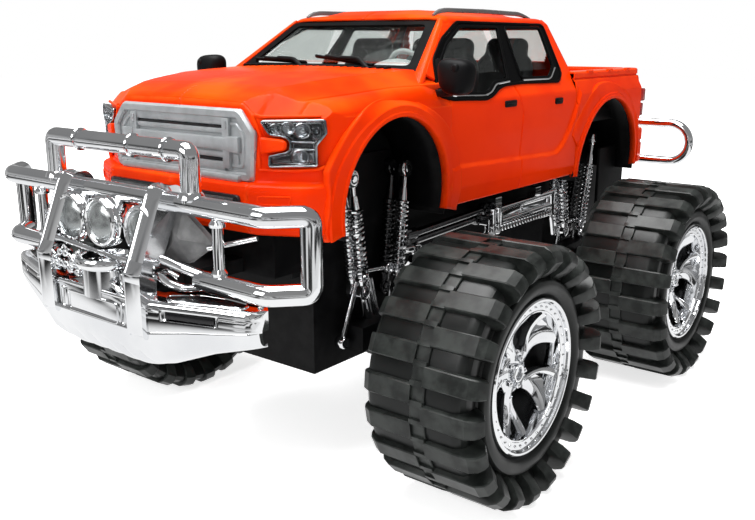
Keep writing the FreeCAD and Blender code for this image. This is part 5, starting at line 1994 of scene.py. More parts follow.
@dataclass
class SkidPlate(Assembly):
    """Plated skid plate: deck, blank plate panel, ribbed shell and two swept wings.

    Attributes:
        face: Y of the upright face, from the front axle.
        deck: Height of the deck.
        half: Half its width.
        front: (x, y) of the wing's front edge.
        edge: (x, y, z) of the shell's lower edge.
    """

    face: float = -122.4
    deck: float = 100.2
    half: float = 76.9
    front: tuple[Flat, ...] = ((0, -124.0), (32, -124.0), (40, -121.8), (57.6, -116.8),
                               (70, -112.6), (74.6, -110.6), (76.2, -108.6), (76.9, -105.8))
    edge: tuple[Point, ...] = ((0, -108.0, 72.4), (22, -108.0, 72.0), (36, -108.0, 74.8),
                               (56, -107.0, 82.6), (72, -104.5, 87.0), (76.9, -103.0, 88.4))

    def shell(self) -> Skin:
        """The lower shell, from the front edge down and back to the lower edge.

        Point (x, t): y and z run from the front edge to the lower one on a quarter of a
        squarish ellipse. Slanting ribs, |sin| of a phase that leans with t, stand out along
        the ellipse's outward direction, and cut scallops into the lower edge.

        Returns:
            The surface, drawn from the front axle.
        """
        x = np.linspace(-self.half, self.half, 300)[:, None]
        t = np.linspace(0, np.pi / 2, 30)[None, :]
        far = np.abs(x)
        lead = table(self.front, far)
        rows = np.array(self.edge)
        y_low, z_low = (np.interp(far, rows[:, 0], rows[:, k]) for k in (1, 2))
        z_top = table(((0, 90.6), (34, 90.6), (50, 92.6), (self.half, 94.8)), far)
        y = y_low + (lead - y_low) * np.cos(t) ** 0.8
        z = z_top - (z_top - z_low) * np.sin(t) ** 0.85
        zone = blend((36.0 - far) / 4.0) * blend((t - 0.35) / 0.4)
        wave = np.abs(np.sin(np.pi * (x - 9.0 * t) / 10.4))
        out = 1.9 * zone * (wave ** 0.5 - 0.7)
        rise = 1.7 * zone * blend((t - 1.1) / 0.45) * (1 - wave)
        return grid(np.stack([x + 0 * t, y - out * np.cos(t), z - out * np.sin(t) + rise],
                             -1)).inside_out()

    def wing(self) -> Skin:
        """The left wing's upper part: deck with its rim, front face and its long groove.

        Returns:
            The left half's surface, drawn from the front axle.
        """
        x = np.concatenate([np.linspace(31, 74, 60), [75.0, 76.2, 76.7, self.half]])
        front = table(self.front, x)
        top = table(((31, 102.4), (60, 102.8), (75.5, 102.4), (77.8, 101.4), (76.9, 99.8)), x)
        low = table(((31, 90.0), (50, 92.2), (self.half, 94.6)), x)
        rear = table(((31, -104), (60, -103.0), (75, -101.0), (self.half, -102.6)), x)
        grooved = blend((x - 40) / 2) * blend((63 - x) / 2)
        key = [(rear, top), (front + 3.0, top), (front + 1.1, top - 0.3),
               (front + 0.2, top - 1.2), (front, top - 2.6), (front + 0.1, top - 3.2),
               (front + 1.6 * grooved, top - 3.5), (front + 1.6 * grooved, top - 6.5),
               (front, top - 6.9), (front - 0.1, top - 7.6), (front, low), (rear, low)]
        rows = [np.column_stack([x, y, z]) for y, z in key]
        return grid(np.stack(rows, axis=1), wrap_cols=True, cap_ends=True).inside_out()

    def hollow(self) -> Array:
        """Outline of the recess in the wing's deck, as (x, y)."""
        return rounded([(36.5, -115.4), (46, -106.6), (58, -104.2), (69.2, -104.4),
                        (70.6, -108.4), (56, -114.0), (41, -118.4)], 4.0, 5, closed=True)

    def wing_trim(self) -> Skin:
        """The rim round the wing's recess, and small bolts.

        Returns:
            The left half's surface, drawn from the front axle.
        """
        oval = self.hollow()
        line = np.column_stack([oval, np.full(len(oval), 102.6)])
        rim = sweep(line, circle(0.6, 8), closed=True)
        bolt = revolved([(1.2, 0.0), (1.2, 0.8), (0.8, 1.4), (0.02, 1.5)], 10, closed=False)
        bolts = [bolt.moved((74, -103.4, 102.0)),
                 bolt.placed((60, -110.5, 85.6), frame_axes((1, 0, 0), (0, -0.5, -1)))]
        return join([rim, *bolts])

    def recess(self) -> Skin:
        """The dark floor of the wing's recess, and of the groove in its front.

        Returns:
            The left half's surface, drawn from the front axle.
        """
        oval = self.hollow()
        dish = plate(oval if shoelace(oval) > 0 else oval[::-1], [(0.0, 102.0), (0.1, 102.95)])
        x = np.linspace(41.5, 61.5, 30)
        path = np.column_stack([x, table(self.front, x) + 0.9, np.full_like(x, 97.6)])
        groove = sweep(path, rect((-0.4, -1.3), (0.4, 1.3), 0.3), up=(0, 0, 1))
        return join([dish, groove])

    def panel(self) -> Skin:
        """The blank plate panel with its rounded recess and the slots on either side.

        Returns:
            The surface, drawn from the front axle.
        """
        frame = slab(rect((-22.8, 88.4), (22.8, 100.8), 1.2), 0.0, 1.2, 0.4)
        rims = [sweep(np.column_stack([rect(a, b, r, 5), np.full(24, 1.2)]),
                      circle(0.5, 8), closed=True)
                for a, b, r in (((-16.4, 89.8), (16.4, 97.8), 1.8),
                                ((18.9, 90.4), (20.9, 98.4), 0.9),
                                ((-20.9, 90.4), (-18.9, 98.4), 0.9))]
        lip = tube([(-22.8, 101.0, 0.6), (22.8, 101.0, 0.6)], 0.8, sides=10)
        return join([frame, *rims, lip]).placed((0, self.face, 0), FRONT_OUT)

    def build(self) -> None:
        """Adds the skid plate's pieces."""
        self.put("skid_shell", self.shell(), "chrome_bright", ["skid_plate"], sharp=50,
                 wall=1.2)
        deck = block((-40.5, self.face - 0.4, self.deck - 1.6), (40.5, -97.0, self.deck), 0.5)
        upper = join([deck, self.panel(), self.wing().both(), self.wing_trim().both()])
        self.put("skid_deck_and_wings", upper, "chrome_bright", sharp=38)
        self.put("skid_wing_hollows", self.recess().both(), "black_gloss")


# ---- grille and lamps --------------------------------------------------------------------
@dataclass
class Grille(Assembly):
    """Silver grille: stepped frame, crossbars, side members and lower lip.

    Attributes:
        back: Y of the panel's face, from the front axle.
        outline: (x, z) of the frame's outer edge, counter-clockwise.
        bars: (low, high, half width, y of the face) of each crossbar.
    """

    back: float = -75.4
    outline: tuple[Flat, ...] = ((-43.4, 141.0), (43.4, 141.0), (44.9, 160.9), (37.3, 169.7),
                                 (-37.3, 169.7), (-44.9, 160.9))
    bars: tuple[tuple[float, float, float, float], ...] = (
        (163.0, 166.4, 31.5, -76.3), (159.4, 161.7, 30.5, -76.1), (153.2, 158.2, 35.0, -77.2),
        (149.9, 152.4, 28.0, -76.2), (144.6, 148.4, 28.0, -76.4))

    def frame(self) -> Skin:
        """Back panel, and two frames carried round its edge.

        Returns:
            The surface, drawn from the front axle.
        """
        outer = np.array(self.outline)
        panel = slab(rounded(outer, 1.2, 3, closed=True), -self.back - 1.4, -self.back, 0.3)
        made = [panel.placed((0, 0, 0), FRONT_OUT)]
        bevelled = [(-1.9, -0.6), (1.9, -0.6), (1.9, 0.7), (1.3, 1.3), (-1.0, 1.3),
                    (-1.9, 0.2)]
        for inset, scale in ((1.9, 1.0), (6.0, 0.42)):
            ring = rounded(shrunk(outer, inset), 1.2, 3, closed=True)
            path = np.column_stack([ring[:, 0], np.full(len(ring), self.back), ring[:, 1]])
            made.append(sweep(path[::-1], np.array(bevelled) * scale, closed=True,
                              up=(0, -1, 0)))
        return join(made)

    def members(self) -> Skin:
        """Crossbars, side members with their brackets, and the lip.

        Returns:
            The surface, drawn from the front axle.
        """
        made = [block((-half, face, low), (half, self.back + 0.3, high), 0.6)
                for low, high, half, face in self.bars]
        sides = [block((27.6, -76.9, 145.6), (31.4, self.back, 166.0), 0.6),
                 block((30.0, -77.5, 152.4), (37.0, self.back, 159.0), 0.9),
                 block((33.4, -75.9, 146.6), (35.6, self.back, 151.6), 0.3),
                 tube([(29.5, -76.8, 161.6), (29.5, -76.8, 164.8)], 0.9, sides=10)]
        made.append(join(sides).both())
        made.append(block((-37.6, -78.4, 140.9), (37.6, self.back, 143.9), 1.0))
        return join(made)

    def slots(self) -> Skin:
        """The dark slots, on the panel and in the bumper below.

        Returns:
            The surface, drawn from the front axle.
        """
        made = [block((-27.5, -75.7, low), (27.5, self.back + 0.2, low + 1.5), 0.1)
                for low in (161.6, 148.4)]
        bumper = slab(rect((-41.5, 131.2), (41.5, 136.9), 2.0), 81.0, 82.45, 0.3)
        return join([*made, bumper.placed((0, 0, 0), FRONT_OUT)])

    def build(self) -> None:
        """Adds the grille, its slots and the strips in the bumper."""
        silver = join([self.frame(), self.members()])
        self.put("grille_frame", silver, "silver_satin", ["grille"], sharp=34)
        self.put("grille_slots", self.slots(), "black_gloss")
        strip = tube([(13.0, -82.6, 134.6), (39.5, -82.6, 134.9)], 1.0, sides=12)
        self.put("bumper_strips", strip.both(), "lamp_bowl")


@dataclass
class Headlight(Assembly):
    """Headlights: a dark bowl cut round the body's finger, reflectors, rim and clear cover.

    Attributes:
        origin: Inner end of the lamp's plane.
        lean: How far the plane runs back for each millimetre outwards.
        outline: (x, z) of the lamp, counter-clockwise from the front.
        bulbs: (x, z, radius) of the upper lamps and the lower projector.
    """

    origin: Point = (46.5, -73.4, 0.0)
    lean: float = 0.47
    outline: tuple[Flat, ...] = (
        (49.1, 147.6), (67.1, 148.6), (66.9, 156.5), (70.6, 161.3), (70.1, 166.5),
        (46.3, 165.6), (49.6, 160.2), (55.4, 159.3), (57.0, 158.0), (57.0, 155.2),
        (55.9, 153.8), (49.3, 152.1))
    bulbs: tuple[Point, ...] = ((52.0, 162.4, 2.3), (56.6, 162.9, 2.6), (61.9, 162.2, 3.0),
                                (67.0, 162.0, 1.7), (60.9, 151.8, 3.2))

    def on_plane(self, skin: Skin) -> Skin:
        """A skin drawn in (x, z), with its thickness outwards, laid on the lamp's plane.

        Args:
            skin: The skin.

        Returns:
            The skin in its place.
        """
        stretch = math.hypot(1.0, self.lean)
        points = (skin.points - np.array([self.origin[0], 0, 0])) * np.array([stretch, 1, 1])
        return Skin(points, skin.faces).placed(self.origin, frame_axes((1, self.lean, 0),
                                                                       (0, 0, 1)))

    def rim(self, inset: float, height: float, radius: float) -> Skin:
        """A round bead along the outline, drawn in by a distance.

        Args:
            inset: The distance.
            height: Its height over the lamp's plane.
            radius: Radius of the bead.

        Returns:
            The bead.
        """
        ring = rounded(shrunk(np.array(self.outline), inset), 0.7, 3, closed=True)
        line = np.column_stack([ring, np.full(len(ring), height)])
        return self.on_plane(sweep(line, circle(radius, 8), closed=True))

    def reflectors(self) -> Skin:
        """Dished bowls with a bulb in each, two cross strips and the side step.

        Returns:
            The left lamp's surface, drawn from the front axle.
        """
        made = []
        for x, z, radius in self.bulbs:
            bowl = revolved([(0.02, 0.7), (radius * 0.3, 0.9), (radius * 0.36, 0.3),
                             (radius * 0.8, 0.7), (radius * 0.9, 1.4), (radius, 1.3),
                             (radius * 1.04, 0.0)][::-1], 28, closed=False)
            made.append(self.on_plane(bowl.moved((x, z, 0))))
        for low in (157.4, 154.6):
            bar = slab(rect((57.6, low), (66.2, low + 0.7), 0.2), 0.0, 1.2, 0.2)
            made.append(self.on_plane(bar))
        for corners in (((50.3, 148.9), (57.0, 151.2)), ((63.8, 149.6), (66.4, 154.0)),
                        ((65.0, 158.4), (68.9, 160.6))):
            step = plate(rect(*corners, 0.5), [(0.0, 0.0), (0.2, 0.6), (0.9, 1.1)])
            made.append(self.on_plane(step))
        return join(made)

    def pockets(self) -> Skin:
        """The body's beads round the lamp, its finger in the bowl and the bumper's pad.

        Returns:
            The left side's surface, drawn from the front axle.
        """
        ledge = rounded([(45.6, -74.1, 146.4), (58, -68.4, 146.4), (67.4, -63.2, 147.4),
                         (68.2, -61.2, 148.2)], 1.2, 4)
        side = rounded([(45.4, -74.1, 146.8), (45.4, -74.1, 153.4), (46.4, -73.7, 159.6),
                        (42.8, -74.7, 167.2)], 1.0, 4)
        brow = rounded([(43.6, -74.0, 167.6), (46.5, -72.7, 166.9), (67.4, -61.8, 167.5)],
                       0.8, 4)
        beads = [sweep(line, circle(0.7, 10)) for line in (ledge, side, brow)]
        finger = plate(rounded([(46.4, 152.9), (55.2, 154.4), (56.2, 155.6), (56.2, 157.6),
                                (55.0, 158.6), (46.4, 159.4)], 0.8, 3, closed=True),
                       [(0.0, -1.0), (0.0, 1.8), (0.6, 2.6)])
        pad = rounded([(48.2, -78.1, 133.6), (60.0, -73.0, 133.5), (60.6, -72.7, 137.0),
                       (47.8, -78.3, 136.6)], 0.8, 3, closed=True)
        return join([*beads, self.on_plane(finger), sweep(pad, circle(0.35, 8), closed=True)])

    def build(self) -> None:
        """Adds bowls, reflectors, rims, covers and pockets on both sides."""
        outline = rounded(self.outline, 0.7, 3, closed=True)
        bowl = self.on_plane(plate(outline, [(1.6, -5.0), (0.2, -1.5), (0.0, 0.0), (0.3, 0.2)]))
        self.put("headlight_bowls", bowl.both(), "black_gloss", ["headlights"],
                 slot="lamp_lens")
        self.put("headlight_reflectors", self.reflectors().both(), "lamp_bowl", sharp=50)
        rims = join([self.rim(0.25, 0.9, 0.55), self.rim(1.3, 0.4, 0.22)])
        self.put("headlight_rims", rims.both(), "lamp_bowl", sharp=60)
        cover = self.on_plane(plate(outline, [(0.3, 1.2), (0.5, 1.6), (1.4, 1.8)]))
        self.put("headlight_covers", cover.both(), "lamp_clear")
        self.put("headlight_pockets", self.pockets().both(), "orange_gloss")


# ---- cabin and trim ----------------------------------------------------------------------
@dataclass
class Cabin(Assembly):
    """What shows through the windows: bucket seats, dashboard and steering wheel.

    Attributes:
        floor: Height of the cabin floor.
        seat_x: Middle of each seat.
        rows: Front of each row's cushions, from the front axle.
        hub: Middle of the steering wheel.
    """

    floor: float = 148.4
    seat_x: float = 27.0
    rows: Flat = (52.0, 111.0)
    hub: Point = (29.0, 47.0, 180.5)

    def seat(self, front: float) -> Skin:
        """The left seat: crowned cushion, back with bolsters, and headrest.

        Each pad is an outline stacked in layers whose inset follows a rounded edge.

        Args:
            front: Front of the cushion.

        Returns:
            The seat.
        """
        crown = [(3.0, 0.0), (0.8, 0.6), (0.0, 2.0), (0.0, 4.6), (0.8, 6.0), (2.6, 6.9),
                 (5.2, 6.9), (6.4, 6.2)]
        base = plate(rect((-18.0, 0.0), (18.0, 30.0), 5.0, 5), crown)
        shell = [(-17, 0), (17, 0), (19, 12), (18.8, 27), (16.2, 32.5), (13.4, 34.5),
                 (13.2, 41.0), (10.8, 44.0), (-10.8, 44.0), (-13.2, 41.0), (-13.4, 34.5),
                 (-16.2, 32.5), (-18.8, 27), (-19, 12)]
        back = plate(rounded(shell, 3.4, 5, closed=True), crown)
        lean = frame_axes((1, 0, 0), (0, 0.24, 0.97))
        side = tube([(15.6, 3, 6.4), (16.4, 14, 7.0), (15.4, 27, 5.6)], 2.4, 6, 14)
        rear = join([back, side.both()]).placed((0, 30.5, 4.5), lean)
        wings = tube([(15.8, 2.5, 6.6), (15.8, 24, 6.6)], 2.4, sides=14).both()
        return join([base, wings, rear]).moved((self.seat_x, front, self.floor))

    def dashboard(self) -> Skin:
        """Dashboard: a rolled section across the cabin, and the hood of the instruments.

        Returns:
            The surface, drawn from the front axle.
        """
        section = rounded([(28.5, 149.0), (38.5, 149.0), (44.5, 164.0), (44.0, 172.5),
                           (38.0, 177.5), (28.5, 177.0)], 3.0, 5, closed=True)
        half = 57.0
        x = np.array([-half, -half + 1.0, half - 1.0, half])
        size = np.array([0.94, 1.0, 1.0, 0.94])[:, None, None]
        middle = section.mean(axis=0)
        ring = middle + (section - middle)[None] * size
        across = np.broadcast_to(x[:, None, None], ring.shape[:2] + (1,))
        roll = grid(np.concatenate([across, ring], -1), wrap_cols=True,
                    cap_ends=True).inside_out()
        dome = revolved([(1.0, 0.0), (0.96, 0.3), (0.82, 0.58), (0.6, 0.8), (0.3, 0.95),
                         (0.01, 1.0)], 40, closed=False)
        hoods = [Skin(dome.points * np.array(size) + np.array(place), dome.faces)
                 for size, place in (((18.0, 9.5, 9.5), (30.0, 36.0, 177.5)),
                                     ((8.0, 6.0, 5.0), (0.0, 38.0, 175.0)))]
        return join([roll, *hoods])

    def wheel(self) -> Skin:
        """Steering wheel: rim, three spokes, boss and column.

        Returns:
            The surface, drawn from the front axle.
        """
        turn = np.linspace(0, 2 * np.pi, 48, endpoint=False)
        rim = sweep(np.column_stack([11 * np.cos(turn), 11 * np.sin(turn), 0 * turn]),
                    circle(1.35, 12), closed=True)
        boss = revolved([(0.02, -2.0), (3.4, -2.0), (4.2, -0.8), (4.0, 0.8), (2.6, 1.6),
                         (0.02, 1.9)], 28, closed=False)
        spokes = [tube([(3 * c, 3 * s, 0.2), (10.6 * c, 10.6 * s, 0.0)], 0.95, sides=10)
                  for c, s in ((1, 0.1), (-1, 0.1), (0, -1))]
        column = tube([(0, 0, -1.0), (0, 0, -12.0)], 2.0, sides=16)
        axes = frame_axes((1, 0, 0), (0, -0.42, 0.9)) * np.array([[-1], [1], [-1]])
        return join([rim, boss, *spokes, column]).placed(self.hub, axes)

    def build(self) -> None:
        """Adds the seats, the dashboard and the steering wheel."""
        for name, front in zip(("front_seats", "rear_seats"), self.rows):
            self.put("bucket_" + name, self.seat(front).both(), "seat_grey", [name], sharp=45)
        self.put("rolled_dashboard", self.dashboard(), "dash_grey", ["dashboard"],
                 slot="dark_interior")
        self.put("spoked_wheel", self.wheel(), "dash_grey", ["steering_wheel"])


@dataclass
class Trim(Assembly):
    """Screen frame, pillars, cowl, mirrors, rails, guards, handles, tail lights and liners.

    Attributes:
        foot: (y, z) of the windscreen's foot, from the front axle.
        rake: Direction up the windscreen, as (y, z).
    """

    foot: Flat = (14.3, 182.1)
    rake: Flat = (0.8115, 0.5844)

    def on_screen(self, points: Array) -> Array:
        """Points (x, distance up the windscreen, lift off it) in space.

        Args:
            points: The points.

        Returns:
            The same points in space.
        """
        up, (c, s) = points[..., 1], self.rake
        lift = points[..., 2]
        return np.stack([points[..., 0], self.foot[0] + c * up - s * lift,
                         self.foot[1] + s * up + c * lift], -1)

    def screen_frame(self) -> Skin:
        """Black band round the windscreen: between two outlines on its plane.

        Returns:
            The surface, drawn from the front axle.
        """
        top = 38.6
        outer = [(-57.4, -1.2), (57.4, -1.2), (46.6, top), (-46.6, top)]
        inner = [(-50.8, 3.6), (50.8, 3.6), (42.0, top - 3.0), (-42.0, top - 3.0)]
        rings = [np.column_stack([rounded(line, 3.0, 4, closed=True), np.full(20, lift)])
                 for line, lift in ((outer, -0.4), (outer, 0.1), (inner, 0.25), (inner, -1.2))]
        skin = grid(np.stack(rings), wrap_rows=True, wrap_cols=True).inside_out()
        return Skin(self.on_screen(skin.points), skin.faces)

    def pillar(self) -> Skin:
        """The left front pillar's flat front: from the corner line in to the screen frame.

        Row t climbs the pillar; across it the surface rolls over the corner, runs level and
        turns down at the inner edge.

        Returns:
            The left half's surface, drawn from the front axle.
        """
        t = np.linspace(-9.0, 40.0, 44)
        corner = FLANK.glass(np.column_stack([t, self.foot[1] + self.rake[1] * t]))[:, 0]
        inner = 57.0 - 0.270 * t
        cols = [(corner + 0.25, -1.6), (corner + 0.15, -0.6), (corner - 0.35, 0.1),
                (corner - 1.1, 0.45), (inner + 0.8, 0.75), (inner + 0.2, 0.6), (inner, 0.1),
                (inner, -1.4)]
        rows = np.stack([np.column_stack([x, t, np.full_like(t, lift)]) for x, lift in cols],
                        axis=1)
        foot = block((58.0, 5.0, 171.0), (66.9, 24.0, 177.0), 1.2, 2.0)
        return join([grid(self.on_screen(rows), wrap_cols=True, cap_ends=True), foot])

    def wiper(self, start: Flat, end: Flat) -> Skin:
        """A parked wiper: blade, its rail and the arm from the cowl.

        Args:
            start: (x, distance up the windscreen) of the blade's inner end.
            end: The same of its outer end.

        Returns:
            The wiper.
        """
        start, end = np.array(start), np.array(end)
        line = [(*start, 1.0), (*end, 1.0)]
        blade = sweep(self.on_screen(along(np.array(line, float), 24)),
                      rect((-0.55, -0.8), (0.55, 0.9), 0.3), up=(0, -0.58, 0.81))
        middle = start * 0.52 + end * 0.48
        rail = [(*(start * 0.8 + end * 0.2), 2.3), (*(start * 0.2 + end * 0.8), 2.3)]
        arm = [(*middle, 2.6), (middle[0] + 12.0, middle[1] - 1.0, 2.9),
               (middle[0] + 22.0, -2.4, 1.8)]
        rods = [tube(self.on_screen(np.array(path, float)), size, 3.0, 10)
                for path, size in ((rail, 0.75), (arm, 1.1))]
        return join([blade, *rods])

    def cowl(self) -> Skin:
        """The ribbed strip at the windscreen's foot, and both wipers.

        Returns:
            The surface, drawn from the front axle.
        """
        x = np.linspace(-55.0, 55.0, 90)
        path = np.column_stack([x, 12.6 + 0.8 * (x / 55) ** 2, 182.6 - 1.5 * (x / 55) ** 2])
        strip = sweep(path, rect((-3.8, -1.6), (3.8, 1.1), 0.6), up=(0, -0.25, 1))
        ribs = [block((a, 8.9, 182.6), (a + 1.2, 13.4, 183.9), 0.3)
                for a in np.arange(-50, 46, 4.4)]
        return join([strip, *ribs, self.wiper((-49.7, 5.6), (-12.4, 3.4)),
                     self.wiper((-9.5, 8.6), (31.2, 2.2))])

    def mirror(self) -> Skin:
        """The left mirror: a rounded pod, its knob, stalk and the sail on the door.

        The pod is a squarish ellipsoid: sign(s)|s|^p of sine and cosine, flattened behind.

        Returns:
            The left half's surface, drawn from the front axle.
        """
        v, u = np.meshgrid(np.linspace(-np.pi / 2, np.pi / 2, 26)[1:-1],
                           np.linspace(0, 2 * np.pi, 44, endpoint=False), indexing="ij")

        def power(value: Array, exponent: float) -> Array:
            """A power that keeps the sign."""
            return np.sign(value) * np.abs(value) ** exponent

        across, level = power(np.cos(v), 0.62), power(np.sin(v), 0.62)
        x = 8.4 * across * power(np.cos(u), 0.8) * (1 + 0.12 * level)
        y = 6.4 * across * power(np.sin(u), 0.8)
        y = np.where(y > 0, np.minimum(y, 4.4), y)
        pod = grid(np.stack([x, y, 7.8 * level - 0.06 * x], -1), wrap_cols=True,
                   cap_ends=True).inside_out().moved((79.6, 13.2, 180.2))
        knob = revolved([(1.7, -1.0), (1.7, 0.6), (1.2, 1.1), (0.02, 1.2)], 18, closed=False)
        stalk = sweep(rounded([(67.2, 18.0, 172.6), (73.6, 16.0, 172.8), (78.5, 14.4, 175.0)],
                              3, 4), rect((-2.8, -1.6), (2.8, 1.6), 0.9), up=(0, 0, 1))
        sail = FLANK.glass(rounded([(17.2, 172.0), (27.5, 170.6), (33.0, 173.4),
                                    (29.0, 187.6), (24.8, 186.4)], 1.4, 4, closed=True), 0.8)
        flat = np.stack([sail - np.array([1.6, 0, 0]), sail])
        return join([pod, knob.placed((82.4, 7.6, 184.2), FRONT_OUT), stalk,
                     grid(flat, wrap_cols=True, cap_ends=True).inside_out()])

    def rail(self) -> Skin:
        """The left roof rail: a low bar that rises from the roof and falls back to it.

        Returns:
            The left half's surface, drawn from the front axle.
        """
        y = np.concatenate([[49.5, 52, 55.5], np.linspace(60, 132, 30), [137, 142, 146.5]])
        z = table(((49.5, 207.6), (52, 208.7), (55.5, 209.6), (60, 210.1), (95, 210.3),
                   (132, 209.8), (137, 209.2), (142, 208.4), (146.5, 207.4)), y)
        size = table(((49.5, 0.45), (55.5, 0.9), (62, 1.0), (130, 1.0), (146.5, 0.45)), y)
        section = rounded([(-2.0, -1.2), (2.0, -1.2), (1.3, 1.1), (-1.1, 1.1)], 0.6, 4,
                          closed=True)
        return sweep(np.column_stack([41.4 + 0 * y, y, z]), section, up=(0, 0, 1), scale=size)

    def liner(self, flare: ArchFlare) -> Skin:
        """The left wheel arch's black liner: a half drum, and the wall that hangs inside it.

        Args:
            flare: The arch that it lines.

        Returns:
            The left liner.
        """
        angle = np.radians(np.linspace(flare.ends[0] - 4, flare.ends[1] + 4, 60))
        reach = flare.radius + 1.0
        arch = np.column_stack([flare.y + reach * np.cos(angle),
                                flare.z + reach * np.sin(angle)])
        x = np.array([70.2, 60.0, 50.0, 41.5])
        drum = np.stack(np.broadcast_arrays(x, arch[:, :1], arch[:, 1:]), -1)
        made = [grid(drum).inside_out(), self.curtain(arch, x[-1], 97.0, 9)]
        if flare is REAR_FLARE:
            made.append(self.curtain(arch, 57.9, 146.0, 5))
        return join(made)

    @staticmethod
    def curtain(arch: Array, x: float, low: float, rows: int) -> Skin:
        """An upright sheet that hangs from an arch.

        Args:
            arch: (y, z) points of the arch.
            x: The sheet's distance from the centre plane.
            low: Height of its lower edge.
            rows: Points down the sheet.

        Returns:
            The sheet.
        """
        y, z = arch[:, :1], arch[:, 1:]
        level = z + (np.minimum(z, low) - z) * np.linspace(0.0, 1.0, rows)[None, :]
        return grid(np.stack([np.full(level.shape, x), np.broadcast_to(y, level.shape),
                              level], -1)).inside_out()

    def wheel_box(self) -> Skin:
        """The bed's left wheel box: an orange cover over the rear liner, closed inboard.

        Returns:
            The left half's surface, drawn from the front axle.
        """
        over, foot = REAR_FLARE.radius + 3.2, 147.5
        low = math.degrees(math.asin((foot - REAR_FLARE.z) / over))
        angle = np.radians(np.linspace(low, 180 - low, 48))[:, None]
        x = np.array([57.4, 42.0, 40.2, 39.5, 39.2])
        reach = over - np.array([0.0, 0.0, 0.2, 0.9, 2.2])
        drum = np.stack(np.broadcast_arrays(x, REAR_FLARE.y + reach * np.cos(angle),
                                            REAR_FLARE.z + reach * np.sin(angle)), -1)
        rim = drum[:, -1:]
        floor = np.concatenate([rim[..., :2], np.full_like(rim[..., 2:], foot)], -1)
        share = np.linspace(0.0, 1.0, 4)[None, :, None]
        return join([grid(drum).inside_out(),
                     grid(rim + (floor - rim) * share).inside_out()])

    def guard(self) -> Skin:
        """The left rear mud guard: a flat panel behind the dampers, and one further in.

        Returns:
            The left half's surface, drawn from the front axle.
        """
        outline = [(217.0, 128.0), (217.0, 91.0), (221.0, 87.0), (252.0, 87.0), (256.0, 91.0),
                   (256.0, 128.0)]
        inner = [(226.0, 128.0), (226.0, 72.0), (252.0, 72.0), (256.0, 80.0), (256.0, 128.0)]
        made = [slab(rounded(line, 2.0, 4, closed=True), low, low + 2.0, 0.4)
                for line, low in ((outline, 56.5), (inner, 41.5))]
        return join(made).placed((0, 0, 0), X_OUT)

    def handles(self) -> Skin:
        """Door handles of the left side: dark slots with a grip across each.

        Returns:
            The left half's surface, drawn from the front axle.
        """
        made = []
        for low, high in (((72.2, 163.0), (83.9, 166.3)), ((126.8, 161.5), (135.7, 164.9))):
            slot = slab(rect(low, high, 1.3, 4), 70.0, 70.75, 0.25)
            grip = slab(rect((low[0] + 1.2, high[1] - 1.5), (high[0] - 1.2, high[1] - 0.3),
                             0.5), 70.5, 71.2, 0.25)
            made += [slot, grip]
        return join(made).placed((0, 0, 0), X_OUT)

    def tail_light(self) -> Skin:
        """The left tail light: an upper and a lower lens wrapped on the corner."""
        return join([block((64.5, 248.2, 156.8), (71.6, 254.4, 165.0), 0.8, 1.6),
                     block((65.6, 248.6, 147.0), (70.8, 253.8, 155.6), 0.8, 1.4)])

    def build(self) -> None:
        """Adds every trim piece."""
        rows = (("screen_frame", self.screen_frame(), "black_trim", ()),
                ("front_pillars", self.pillar().both(), "orange_gloss", ()),
                ("ribbed_cowl", self.cowl(), "black_satin", ["cowl_and_wipers"]),
                ("mirror_pods", self.mirror().both(), "black_satin", ["door_mirrors"]),
                ("curved_roof_rails", self.rail().both(), "rail_grey", ["roof_rails"]),
                ("mud_guards", self.guard().both(), "black_satin", ()),
                ("door_handles", self.handles().both(), "black_satin", ()),
                ("tail_lenses", self.tail_light().both(), "red_lens", ["tail_lights"]))
        for name, skin, finish, nodes in rows:
            self.put(name, skin, finish, nodes, sharp=40)
        self.put("wheel_boxes", self.wheel_box().both(), "orange_gloss", sharp=40, wall=0.8)
        liners = join([self.liner(FRONT_FLARE), self.liner(REAR_FLARE)]).both()
        self.put("arch_liners", liners, "black_satin", wall=0.8)
        clips = [block((66.9, y, 177.0), (68.6, y + 6.5, 178.7), 0.5)
                 for y in (171.0, 199.0, 226.0)]
        vent = tube([(53.4, 10.3, 180.2), (59.9, 3.0, 176.8)], 0.55, sides=10)
        self.put("rail_clips_and_vents", join([*clips, vent]).both(), "orange_gloss")


